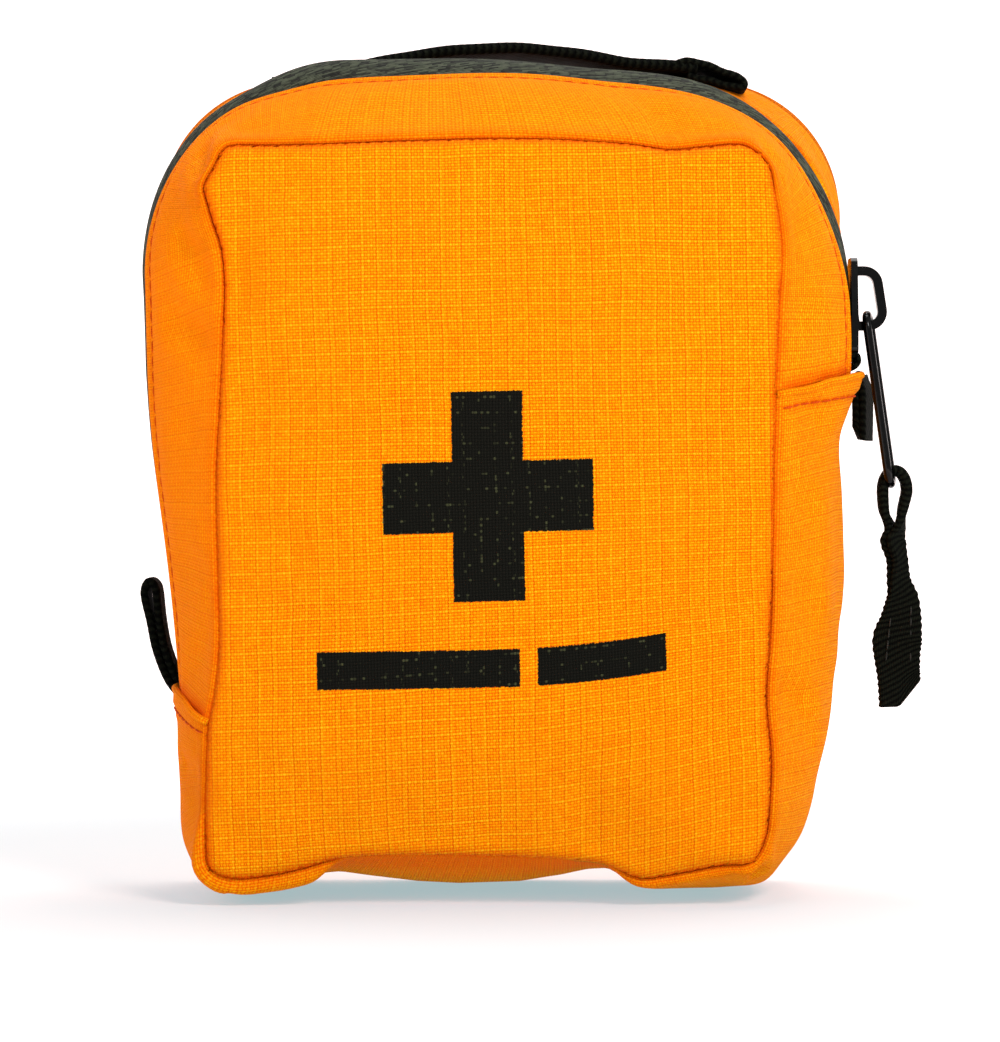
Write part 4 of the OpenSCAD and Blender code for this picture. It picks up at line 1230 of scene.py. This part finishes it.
# ---------- webbing ----------
def strap_part(path, width, thick, wide=(0, 1, 0), edge=0.12, pitch=1.5):
    """Flat strap along a path. wide is the direction of its width, one or one for each point, and
    its edges are knobbly: edge high, every pitch."""
    path = np.asarray(path, float)
    along = unit(np.gradient(path, axis=0))
    wide = np.broadcast_to(np.asarray(wide, float), path.shape)
    wide = unit(wide - along * (wide * along).sum(-1, keepdims=True))
    face = np.cross(along, wide)
    width = np.broadcast_to(width, len(path))
    thick = np.broadcast_to(thick, len(path))
    run = run_length(path)
    across = np.linspace(-1, 1, 11)
    t = thick[:, None] / 2
    w = (width[:, None] / 2 + edge * np.sin(run * 2 * math.pi / pitch)[:, None])
    flat_x = across[None] * (w - t * 0.8)
    side = np.array([0.75, 0.0, -0.75])
    round_x = w - t * 0.8 + t * 0.8 * np.cos(side * 1.35)
    xs = np.concatenate([flat_x, round_x, flat_x[:, ::-1], -round_x], 1)
    ys = np.concatenate([t + 0 * flat_x, t * side, -t + 0 * flat_x, -t * side], 1)
    ring = path[:, None] + xs[..., None] * wide[:, None] + ys[..., None] * face[:, None]
    return closed_part(ring, np.stack([xs, run[:, None] + 0 * xs], -1))


def strap(name, path, width, thick, material, **kw):
    return joined(name, [strap_part(path, width, thick, **kw)], material)


def reshaped(piece, change):
    """A piece with its points in millimetres passed through change, which alters them in place."""
    points = np.array([v.co for v in piece.data.vertices]) / MM
    change(points)
    piece.data.vertices.foreach_set("co", (points * MM).ravel())
    piece.data.update()
    return piece


# A stitched box is run round its four corners, then across them.
BOX_LINES = ((0, 1), (1, 2), (2, 3), (3, 0), (0, 2), (1, 3))
HANDLE_BOX = ((38, 10.5), (45, 10.5), (45, 23.5), (38, 23.5))
HANDLE_Y, HANDLE_WIDTH = 17, 16


def handle():
    """The carry handle and its two folded ends, which are sewn down with boxes."""
    arch = [(-37.5, 160.4), (-30, 161.9), (-20, 164.1), (-8, 165.7), (2, 166.1), (13, 165.3),
            (25, 163.3), (34, 162.6), (39, 162.2)]
    spine = curve_through([(x, HANDLE_Y, z) for x, z in arch], 150)
    spine[:, 2] += 0.08 * np.sin(spine[:, 0] / 2.3) - 0.25
    grip = strap("handle_strap_webbing", spine, HANDLE_WIDTH, 2.1, WEBBING, edge=0.15)
    put(grip, "webbing_black", lambda obj: share_blend(
        obj, lambda p: smooth((36.0 - np.abs(p[..., 0])) / 26)), "handle_strap")
    ends = [[(33.5, 162.5), (38, 163.2), (43, 161.6), (47.2, 159.9), (48.3, 158.7), (47.0, 158.0),
             (42, 159.2), (37, 160.3)],
            [(-33.5, 160.2), (-38, 160.6), (-42.5, 159.2), (-45.4, 157.6), (-46.2, 156.6),
             (-45.2, 156.1), (-41, 157.3), (-36, 158.5)]]
    parts, seams = [], []
    for points, side, top in zip(ends, (1, -1), (163.9, 162.2)):
        path = curve_through([(x, HANDLE_Y, z) for x, z in points], 90)
        path[:, 2] += 0.12 * np.sin(path[:, 0] / 0.8)
        parts.append(strap_part(path, HANDLE_WIDTH, 1.35, edge=0.15))
        over = path[:40]
        order = np.argsort(over[:, 0] * side)
        for a, b in BOX_LINES:
            (x0, y0), (x1, y1) = HANDLE_BOX[a], HANDLE_BOX[b]
            line = line_points((side * x0, y0, 0), (side * x1, y1, 0), 24)
            line[:, 2] = np.interp(line[:, 0] * side, over[order, 0] * side,
                                   top + (over[order, 2] - over[:, 2].max()))
            seams += stitch_part(line, [0, 0, 1.0], 2.2, 1.8, 0.16)
    put(joined("handle_ends_webbing", parts, WEBBING), "webbing_black", on_pouch, "handle_anchors")
    on_pouch(joined("handle_end_stitches", seams, THREAD_BLACK))


def box_seam(corners, place):
    """Stitched box with a cross on the back of the pouch. place maps a corner to a point."""
    parts = []
    for a, b in BOX_LINES:
        line = line_points(corners[a], corners[b], 30)
        parts += stitch_part(np.array([place(*p) for p in line]), [0, 1.0, 0], 2.6, 2.1, 0.18)
    return parts


def belt_loop():
    """The loop on the back, sewn down at its head and foot."""
    low, high = box_mm("belt_loop")
    y0, y1, z0, z1 = low[1] + 0.85, high[1] - 0.85, low[2], high[2]
    # One end of the loop: depth, and distance from that end.
    rise = [(y0, 0), (y0, 6), (y0 + 0.1, 12.2), (mix(y0, y1, 0.5), 15.6), (y1 - 0.3, 19.5), (y1, 30)]
    path = curve_through([(0, y, z0 + d) for y, d in rise] + [(0, y, z1 - d) for y, d in rise[::-1]], 200)
    loop = strap("belt_loop_webbing", path, 40, 1.6, WEBBING, wide=(1, 0, 0), edge=0.15)
    put(loop, "webbing_black", on_pouch, "belt_loop")
    seams = []
    for a in (z0 + 1.8, z1 - 10.2):
        corners = [(-18, a), (18, a), (18, a + 8.4), (-18, a + 8.4)]
        seams += box_seam(corners, lambda x, z: (x, y0 + 0.95, z))
    on_pouch(joined("belt_loop_stitches", seams, THREAD_BLACK))


def pull():
    """The webbing pull: one strip folded over the wire, twisted at its neck and sewn flat below."""
    ex, ez = PULL_EYE[0], PULL_EYE[2]
    # Middle line of the doubled strip from its foot to the eye, measured from the eye: x, z, half gap,
    # turn of its width, width and thickness.
    rows = [(1.7, -43.3, 0.62, 4, 7.9, 1.15), (1.5, -37.7, 0.64, 2, 8.2, 1.15),
            (1.2, -33.7, 0.66, -4, 8.9, 1.15), (1.2, -30.2, 0.66, -8, 9.6, 1.15),
            (1.9, -26.7, 0.66, -4, 8.2, 1.15), (2.2, -22.2, 0.66, 8, 6.3, 1.2),
            (1.5, -18.7, 0.7, 25, 4.6, 1.3), (1.2, -14.7, 0.75, 45, 4.2, 1.4),
            (0.4, -11.1, 0.85, 40, 5.0, 1.5), (0.8, -8.7, 0.9, 65, 4.6, 1.6),
            (0.4, -5.4, 1.75, 88, 4.3, 1.9), (0.7, -1.7, 2.35, 90, 4.1, 2.1)]
    rows = np.array([(x + ex, z + ez, *rest) for x, z, *rest in rows])
    dense = curve_through(rows, 90)
    turn = np.radians(dense[:, 3])
    wide = np.stack([np.cos(turn), np.sin(turn), 0 * turn], 1)
    face = np.stack([-np.sin(turn), np.cos(turn), 0 * turn], 1)
    middle = np.stack([dense[:, 0], 0 * turn, dense[:, 1]], 1)
    up = middle + face * dense[:, 2:3]
    down = middle - face * dense[:, 2:3]
    over = []
    for a in np.linspace(0, math.pi, 22)[1:-1]:
        over.append((ex + 0.7 - 2.35 * math.cos(a), 0, ez - 1.2 + 3.9 * math.sin(a)))
    path = np.concatenate([up, over, down[::-1]])
    wides = np.concatenate([wide, np.tile([0, 1.0, 0], (len(over), 1)), wide[::-1]])
    widths = np.concatenate([dense[:, 4:], np.tile([4.1, 2.1], (len(over), 1)), dense[::-1, 4:]])
    length = run_length(path)
    at = np.linspace(0, length[-1], 260)
    path, wides, widths = (values_at(at, length, a) for a in (path, wides, widths))
    for _ in range(3):
        path[1:-1] = (path[:-2] + 2 * path[1:-1] + path[2:]) / 4
    piece = strap("pull_webbing_strip", path, widths[:, 0], widths[:, 1], FINE_WEBBING, wide=wides,
                  pitch=1.35)

    def slant(points):
        points[:, 2] += smooth((45 - points[:, 2]) / 8) * np.maximum(0, points[:, 0] - 77.6) * 1.2
    put(reshaped(piece, slant), "webbing_black", on_body("pull_tab"), "pull_webbing")
    seams = []
    for z0, z1, off in ((45, 57, 2.4), (45, 55, -2.4)):
        line = line_points((77.3 + off, -1.35, z0), (77.9 + off * 0.8, -1.35, z1), 30)
        seams += stitch_part(line, [0, -1.0, 0], 2.2, 1.7, 0.16)
    on_body("pull_tab")(joined("pull_stitches", seams, THREAD_BLACK))


def tabs():
    """The hanging tab and the zip's folded end on the right, and the standing loop on the left."""
    low, high = box_mm("right_tab")
    x, y = (low[0] + high[0]) / 2, (low[1] + high[1]) / 2
    # Its two layers, by their distance from its middle and their height.
    layers = [[(-0.55, low[2] + 0.5), (-0.55, low[2] + 6), (-0.7, high[2] - 0.6), (-0.3, high[2] + 0.3)],
              [(0.75, low[2] + 0.3), (0.85, low[2] + 6), (0.75, high[2] - 2.6), (-0.2, high[2] + 0.5)]]
    parts = [strap_part(curve_through([(x + dx, y, z) for dx, z in layer], 50) + [0.5, 0, 0], 10, 1.35,
                        wide=(0.26, 0.965, 0)) for layer in layers]

    def slant(points):
        points[:, 2] += (smooth((low[2] + 5 - points[:, 2]) / 5)
                         * np.maximum(0, x - 0.2 - points[:, 0]) * 1.5)
    tab = reshaped(joined("right_tab_webbing", parts, WEBBING), slant)
    put(tab, "webbing_black", on_body("right_tab"), "right_tab")
    end = curve_through([(66.6, 0.3, 101.9), (68.3, 0.3, 102.1), (69.3, 0.3, 103.2), (69.1, 0.3, 104.5),
                         (68.0, 0.3, 104.4), (67.5, 0.3, 103.3)], 60)
    on_pouch(strap("zip_tape_end", end, 11, 0.9, WEBBING, edge=0.1))
    low, high = box_mm("left_tab")
    y = (low[1] + high[1]) / 2
    middle = np.array([(-62.4, 39.0), (-64.6, 42.2), (-66.6, 47.5), (-67.7, 53), (-68.6, 58.5)])
    away = np.array([(-0.62, -0.78), (-0.8, -0.5), (-0.95, -0.28), (-0.97, -0.2), (-0.95, -0.3)])
    gap = np.array([0.8, 0.85, 0.85, 0.9, 1.2])[:, None]
    one, two = middle + away * gap, (middle - away * gap)[::-1]
    tip = [(-69.1, 60.5), (-68.2, 60.4)]
    pts = [(p[0], y, p[1]) for p in np.concatenate([one, tip, two])]
    loop = strap("left_tab_webbing", curve_through(pts, 170), 10, 1.5, WEBBING, edge=0.15)
    put(loop, "webbing_black", on_body("left_tab"), "left_tab")


# ---------- inside of the back ----------
def filled(line, y, wave):
    """Grid that fills an outline at one depth, as rings from its edge to its middle."""
    centre = line.mean(0)
    grid = np.array([at_depth(mix(line, centre, (i / 30) ** 1.1), y) for i in range(31)])
    grid[..., 1] += ripple(grid, 26, 61) * wave
    return np.concatenate([grid, grid[:, :1]], 1)


def inside_back():
    low, high = box_mm("back_foam")
    lining = filled(inset(back_line, 2.2), LINING_Y + 0.1, 0.12)
    put(sheet("lining_cloth_sheet", lining, 0.7, lining[..., ::2], [LINING]), "lining_grey", on_pouch,
        "back_lining")
    foam = filled(inset(back_line, 4.5), low[1] + 0.15, 0.05)
    put(sheet("foam_sheet", foam, high[1] - low[1] - 0.3, foam[..., ::2], [FOAM]), "foam_white",
        on_pouch, "back_foam")

    low, high = box_mm("tool_elastic")
    y, z = (low[1] + high[1]) / 2, (low[2] + high[2]) / 2
    path = np.array([(x, y - 0.12 * math.sin(x / 5) ** 2, z) for x in np.linspace(low[0], high[0], 120)])
    elastic = strap("tool_elastic_band", path, high[2] - low[2], 0.8, ELASTIC, wide=(0, 0, 1), edge=0.1)
    put(elastic, "elastic_black", on_pouch, "tool_elastic")
    seams = []
    for x in (-49, -42, -12, 8, 13, 29, 33, 49):
        line = line_points((x, y - 0.5, z - 5), (x, y - 0.5, z + 5), 20)
        seams += stitch_part(line, [0, -1.0, 0], 1.7, 1.3, 0.15)
    on_pouch(joined("elastic_tacks", seams, THREAD_BLACK))

    low, high = box_mm("elastic_keepers")
    parts = []
    for left, right in ((low[0], low[0] + 8.1), (high[0] - 11, high[0])):
        a, b, c, d = left + 0.4, right - 0.4, low[1] + 0.4, high[1] - 0.4
        r = 1.3
        loop = [(a + r, d), (a + 0.3, d - 0.3), (a, d - r), (a, (c + d) / 2), (a, c + r), (a + 0.3, c + 0.3),
                (a + r, c), ((a + b) / 2, c), (b - r, c), (b - 0.3, c + 0.3), (b, c + r), (b, (c + d) / 2),
                (b, d - r), (b - 0.3, d - 0.3), (b - r, d), ((a + b) / 2, d), (a + r + 0.1, d)]
        path = curve_through([(p[0], p[1], z) for p in loop], 120)
        parts.append(strap_part(path, 8, 0.75, wide=(0, 0, 1), edge=0.08))
    put(joined("keeper_loops", parts, ELASTIC), "elastic_black", on_pouch, "elastic_keepers")


# ---------- contents ----------
def settle(points):
    """Raises the foot of the contents over the arch and the rounded front of the pouch's foot."""
    depth = np.clip((points[..., 1] - SEAM_Y) / -SEAM_Y, 0, 1)
    lift = 5.2 * np.exp(-((points[..., 0] + 6) / 34) ** 4) + 8.5 * (1 - np.sin(math.pi / 2 * depth) ** 0.9)
    lift = lift * smooth((48 - points[..., 2]) / 44)
    out = points.copy()
    out[..., 2] += lift
    return out


CRIMP = 0.9     # pitch of the ribs across a packet's seals


def packet(name, node, material, slot, seal=3.0, wrinkle=0.35, size=12, seed=1, body="pouch",
           frame_of=settle, extent=None):
    """Filled packet: two films swollen apart, with flat crimped seals at its head and foot. frame_of
    takes its points to where it lies, and extent is its box where that isn't the node's."""
    low, high = extent if extent else box_mm(node)
    w, h, t = high[0] - low[0], high[2] - low[2], high[1] - low[1]
    cols, rows = max(14, int(w / 1.3)), max(14, int(h / 1.1))
    v, u = np.meshgrid(np.linspace(0, 1, rows), np.linspace(0, 1, cols), indexing="ij")
    x, z = mix(low[0], high[0], u), mix(low[2], high[2], v)
    edge = np.minimum(x - low[0], high[0] - x) / (seal * 0.5)
    head = np.minimum(z - low[2], high[2] - z) - seal
    swell = smooth(np.minimum(edge * 0.7 + 0.02, head / (seal * 0.9)) + 0.02) ** 0.5
    mid = (low[1] + high[1]) / 2
    ribs = np.where(head < 0, 0.14 * np.sin(z * 2 * math.pi / CRIMP), 0)
    corner_pull = smooth((np.abs(2 * u - 1) + np.abs(2 * v - 1) - 1.82) / 0.18) * 0.8
    films = []
    for side in (-1, 1):
        pts = np.stack([x, np.full_like(x, mid), z], -1)
        y = mid + side * (0.22 + (t / 2 - 0.25 - wrinkle) * swell) + ribs
        y = y + ripple(pts + side * 7, size, seed) * wrinkle * (0.25 + 0.75 * swell) * (swell > 0.01)
        y = np.clip(y, low[1] + 0.02, high[1] - 0.02)
        films.append(np.stack([x - np.sign(u - 0.5) * corner_pull, y,
                               z - np.sign(v - 0.5) * corner_pull], -1))
    wide = frame_of(np.concatenate([films[0], films[1][:, ::-1]], 1))
    total = wide.shape[1]
    uv = np.stack([np.concatenate([x, x[:, ::-1] + 200], 1), np.concatenate([z, z], 1)], -1)
    faces = list(grid_faces(rows, total, wrap_cols=True))
    for r in (0, rows - 1):
        for c in range(cols - 1):
            quad = [r * total + c, r * total + c + 1, r * total + total - 2 - c, r * total + total - 1 - c]
            faces.append(quad[::-1] if r == 0 else quad)
    piece = add_mesh(name, wide.reshape(-1, 3), faces, [material], uv=uv.reshape(-1, 2))
    put(piece, slot, on_body(body), node)


def wound_roll(name, node, material, slot, axis, r_in, pitch, ridge, lap=0.6, soft=0.25, seed=71):
    """Roll of bandage or tape, wound in a spiral whose layers show as ridges on both ends. lap is the
    step where its free end lies, and soft how uneven its outside is."""
    low, high = box_mm(node)
    centre = (low + high) / 2
    length = high[axis] - low[axis]
    other = [i for i in (0, 1, 2) if i != axis]
    r_out = (high[other[0]] - low[other[0]]) / 2 - lap - soft
    a = np.linspace(0, 2 * math.pi, 120, endpoint=False)
    step = lap * (1 - a / (2 * math.pi))
    face_r = np.linspace(r_in, r_out, int((r_out - r_in) / pitch * 8))

    def end(radii, at, way, z):
        """Rings of one end of the roll, at a place on its axis, with ridges that sink in."""
        for r in radii:
            ring = np.stack([r * np.cos(a), r * np.sin(a), 0 * a + z], 1)
            depth = ridge * (0.5 + 0.5 * np.cos(2 * math.pi * (r / pitch) - a)) + 0.25 * ripple(ring, 9, seed)
            yield r + step * (r / r_out), at + way * ridge + way * depth

    rings = list(end(face_r, low[axis], 1, 0))
    for t in np.linspace(0, 1, 26):
        pts = np.stack([np.cos(a) * r_out, np.sin(a) * r_out, np.full(len(a), t * length)], 1)
        round_off = 0.5 * (math.exp(-t * length / 0.8) + math.exp(-(1 - t) * length / 0.8))
        rings.append((r_out + soft * ripple(pts, 13, seed + 1) + step - round_off,
                      np.full(len(a), low[axis] + mix(2 * ridge, length - 2 * ridge, t))))
    rings += end(face_r[::-1], high[axis], -1, 50)
    points = np.zeros((len(rings), len(a), 3))
    for i, (radius, place) in enumerate(rings):
        points[i, :, axis] = place
        points[i, :, other[0]] = centre[other[0]] + radius * np.cos(a)
        points[i, :, other[1]] = centre[other[1]] + radius * np.sin(a)
    uv = np.stack([np.broadcast_to(a[None] * r_out, points.shape[:2]),
                   np.broadcast_to(run_length(points[:, 0])[:, None], points.shape[:2])], -1)
    faces = grid_faces(len(rings), len(a), wrap_rows=True, wrap_cols=True)
    if axis != 1:
        faces = faces[:, ::-1]
    piece = add_mesh(name, points.reshape(-1, 3), faces, [material], uv=uv.reshape(-1, 2))
    put(piece, slot, on_pouch, node)


def strips():
    """Four plaster strips, each a little behind and above the last."""
    low, high = box_mm("plaster_strips")
    for i in range(4):
        a = np.array([low[0] + 1.5 * i, low[1] + 1.9 * i, low[2] + 3 * i])
        b = np.array([high[0] - 1.5 * (3 - i), low[1] + 1.9 * i + 1.6, high[2] - 3 * (3 - i)])
        packet(f"plaster_strip_{i + 1}", "plaster_strips", PAPER_WRAP if i % 2 else PLASTER, "plaster_tan",
               seal=2.5, wrinkle=0.15, seed=80 + i, extent=(a, b))


def contents():
    packet("foil_blanket_pack", "foil_blanket", FOIL, "foil_silver", wrinkle=1.3, size=9, seed=2)
    packet("triangular_bandage_pack", "triangular_bandage", CALICO, "gauze_white", seal=1.5,
           wrinkle=0.7, seed=3)
    packet("gloves_pack", "gloves_packet", BLUE_WRAP, "wrap_blue", wrinkle=0.9, size=14, seed=4)
    packet("wound_dressing_pack", "wound_dressing", PAPER_WRAP, "wrap_white", wrinkle=0.8, size=16, seed=5)
    packet("eye_dressing_pack", "eye_dressing", GREEN_WRAP, "wrap_green", wrinkle=0.7, size=15, seed=6)
    packet("face_shield_pack", "face_shield_packet", CLEAR_WRAP, "wrap_blue", wrinkle=0.4, size=14, seed=7)
    wound_roll("large_bandage_wound", "large_bandage_roll", CREPE, "crepe_cream", 0, 1.6, 1.5, 0.4)
    wound_roll("small_bandage_wound", "small_bandage_roll", GAUZE, "gauze_white", 0, 1.4, 1.2, 0.35,
               seed=91)
    wound_roll("tape_wound", "tape_roll", TAPE, "tape_white", 1, 11.02, 0.5, 0.1, 0.25, 0.05, seed=95)
    wound_roll("tape_core_ring", "tape_core", CORE, "core_white", 1, 9.75, 1.0, 0.02, 0.0, 0.02, seed=97)
    strips()


# ---------- pocket inside the flap ----------
def fold_frame(points):
    """From the pocket's own frame, x along the fold line and z up from it, to the pouch's."""
    return (FOLD_POINT * [1, 0, 1] + points[..., 0:1] * FOLD_DIR + points[..., 1:2] * [0, 1, 0]
            + points[..., 2:3] * FOLD_UP)


def pocket(face):
    """Net pocket sewn to the inside of the front panel, whose outer face is given, and what it holds."""
    base = FRONT_Y + 1.25
    extent = lambda x, y, z, w, d, h: (np.array([x, y, z], float), np.array([x + w, y + d, z + h], float))
    packet("leaflet_folded", "guidance_leaflet", PAPER, "paper_white", seal=0.5, wrinkle=0.08, seed=15,
           body="front_flap", frame_of=fold_frame, extent=extent(40, base, 8, 54, 0.8, 46))
    for i in (0, 1):
        packet(f"cleansing_wipe_{i + 1}", "cleansing_wipes", PAPER_WRAP if i else BLUE_WRAP, "wrap_white",
               seal=3.5, wrinkle=0.1, seed=16 + i, body="front_flap", frame_of=fold_frame,
               extent=extent(39 + 22 * i, base + 0.9 + 1.1 * i, 9, 34, 1.0, 46 - 5 * i))
    parts = []
    y, cell = base + 3.35, 2.6
    x0, x1, z0, z1 = 36.0, 98.0, 6.0, 46.0
    for way in (1, -1):
        for start in np.arange(x0 - (z1 - z0), x1 + (z1 - z0), cell):
            z = np.linspace(z0, z1, 34)
            x = start + (z - z0 if way > 0 else z1 - z)
            x = x + 0.35 * np.sin((z - z0) * 2 * math.pi / cell) * way
            keep = (x >= x0) & (x <= x1)
            if keep.sum() > 2:
                pts = np.stack([x[keep], y + 0.12 * way + 0 * x[keep], z[keep]], 1)
                parts.append(tube_part(fold_frame(pts), 0.2, sides=5))
    on_front = on_body("front_flap")
    put(joined("pocket_net", parts, MESH), "mesh_black", on_front, "inner_pocket")
    rims = []
    for a, b, w in (((x0, z1 - 2), (x1, z1 - 2), 5), ((x0, z0), (x1, z0), 3),
                    ((x0 + 1.2, z0), (x0 + 1.2, z1), 3), ((x1 - 1.2, z0), (x1 - 1.2, z1), 3)):
        line = fold_frame(line_points((a[0], y, a[1]), (b[0], y, b[1]), 60))
        wide = FOLD_UP if a[1] == b[1] else FOLD_DIR
        rims.append(strap_part(line, w, 0.7, wide=wide, edge=0.08))
        if b[1] == z0 or a[1] == z0:
            # The foot and the two sides reach down to the panel.
            near = [np.argmin(((face[..., ::2] - p[::2]) ** 2).sum(-1)) for p in line]
            sewn = face.reshape(-1, 3)[near, 1] + 1.3
            wall = np.stack([line[:, 0], (line[:, 1] + sewn) / 2, line[:, 2]], 1)
            rims.append(strap_part(wall, line[:, 1] - sewn, 0.5, wide=(0, 1, 0), edge=0.05))
    put(joined("pocket_binding", rims, ELASTIC), "elastic_black", on_front)


# ---------- metal and moulded parts ----------
def repaint(node, material, bevel):
    """A better material on a CAD node that stays, and a small bevel that catches the light."""
    obj = nodes[node]
    for s in obj.material_slots:
        s.material = material
    if bevel:
        m = obj.modifiers.new("edges", "BEVEL")
        m.width = bevel * MM
        m.segments = 3
        m.limit_method = "ANGLE"
        m.angle_limit = math.radians(35)


def hardware():
    for material, bevel, names in (
            (LACQUER, 0.35, "slider_body slider_bail"), (WIRE, 0.0, "puller_wire"),
            (STEEL, 0.18, "scissors_fixed_blade scissors_moving_blade tweezers_fixed_leg"),
            (STEEL, 0.18, "tweezers_moving_leg"), (STEEL, 0.25, "scissors_rivet"),
            (GRIP, 0.8, "scissors_fixed_grip scissors_moving_grip"), (CHROME, 0.15, "safety_pins")):
        for name in names.split():
            repaint(name, material, bevel)


# ---------- stage, light and camera ----------
def stage():
    """Plain white sweep: a floor that curves up into a backdrop. It glows as painted light: white far from
    the pouch, and near it a weaker cool blue glow over a warm floor colour, which paints the shadow under the
    pouch blue-grey.
    """
    s = Shader("studio_white", 0.9, Specular_IOR_Level=0.0)
    s.colour((0.66, 0.48, 0.43))
    reach = s.new("ShaderNodeVectorMath", operation="LENGTH")
    s.tree.links.new(s.place(), reach.inputs[0])
    far = Node(s.tree, reach.outputs["Value"]).ramp(150.0, 480.0)
    s.tree.links.new((far * 0.6 + 0.51).socket, s.bsdf.inputs["Emission Strength"])
    s.tree.links.new(s.blend(far, (0.4, 0.86, 1.0), (1, 1, 1)), s.bsdf.inputs["Emission Color"])
    profile = [(-2.5, 0.0), (1.6, 0.0)]
    for a in np.linspace(0, math.pi / 2, 14):
        profile.append((1.6 + 0.8 * math.sin(a), 0.8 - 0.8 * math.cos(a)))
    profile.append((2.4, 3.5))
    points = np.array([[x, y, z] for y, z in profile for x in (-4.0, 4.0)]) / MM
    faces = [[2 * i, 2 * i + 1, 2 * i + 3, 2 * i + 2] for i in range(len(profile) - 1)]
    add_mesh("studio_floor", points, faces, [s.material])


def area_light(name, place, target, size, watts):
    lamp = bpy.data.lights.new(name, "AREA")
    lamp.shape = "DISK"
    lamp.size = size
    lamp.energy = watts
    obj = bpy.data.objects.new(name, lamp)
    bpy.context.scene.collection.objects.link(obj)
    obj.location = place
    obj.rotation_euler = (Vector(target) - Vector(place)).to_track_quat("-Z", "Y").to_euler()


CAMERA_AT = (0, -0.7, 0.0725)
CAMERA_LENS = (124.3, 36)     # focal length and sensor width


def studio():
    scene = bpy.context.scene
    scene.view_settings.view_transform = "Standard"
    world = bpy.data.worlds.new("studio_world")
    world.use_nodes = True
    tree = world.node_tree
    tree.nodes["Background"].inputs[0].default_value = (1, 1, 1, 1)
    # The backdrop is white to the camera, and dimmer as a light.
    seen = Node(tree, tree.nodes.new("ShaderNodeLightPath").outputs["Is Camera Ray"])
    tree.links.new((seen * 0.6 + 0.42).socket, tree.nodes["Background"].inputs[1])
    scene.world = world
    area_light("key", (0.5, -0.85, 0.75), (0, 0, 0.08), 0.4, 8.2)
    area_light("fill", (-0.8, -0.9, 0.35), (0, 0, 0.08), 0.8, 2.6)
    area_light("top", (0.1, 0.2, 0.95), (0, 0, 0.1), 0.5, 4.4)
    camera = bpy.data.cameras.new("camera")
    camera.lens, camera.sensor_width = CAMERA_LENS
    camera.clip_start = 0.01
    obj = bpy.data.objects.new("camera", camera)
    scene.collection.objects.link(obj)
    obj.location = CAMERA_AT
    obj.rotation_euler = (math.pi / 2, 0, 0)
    scene.camera = obj


panel_face = front_panel()
upper_gussets()
lower_gusset()
back_panel()
zip_tapes()
zip_coils()
handle()
belt_loop()
pull()
tabs()
inside_back()
contents()
pocket(panel_face)
hardware()
stage()
studio()
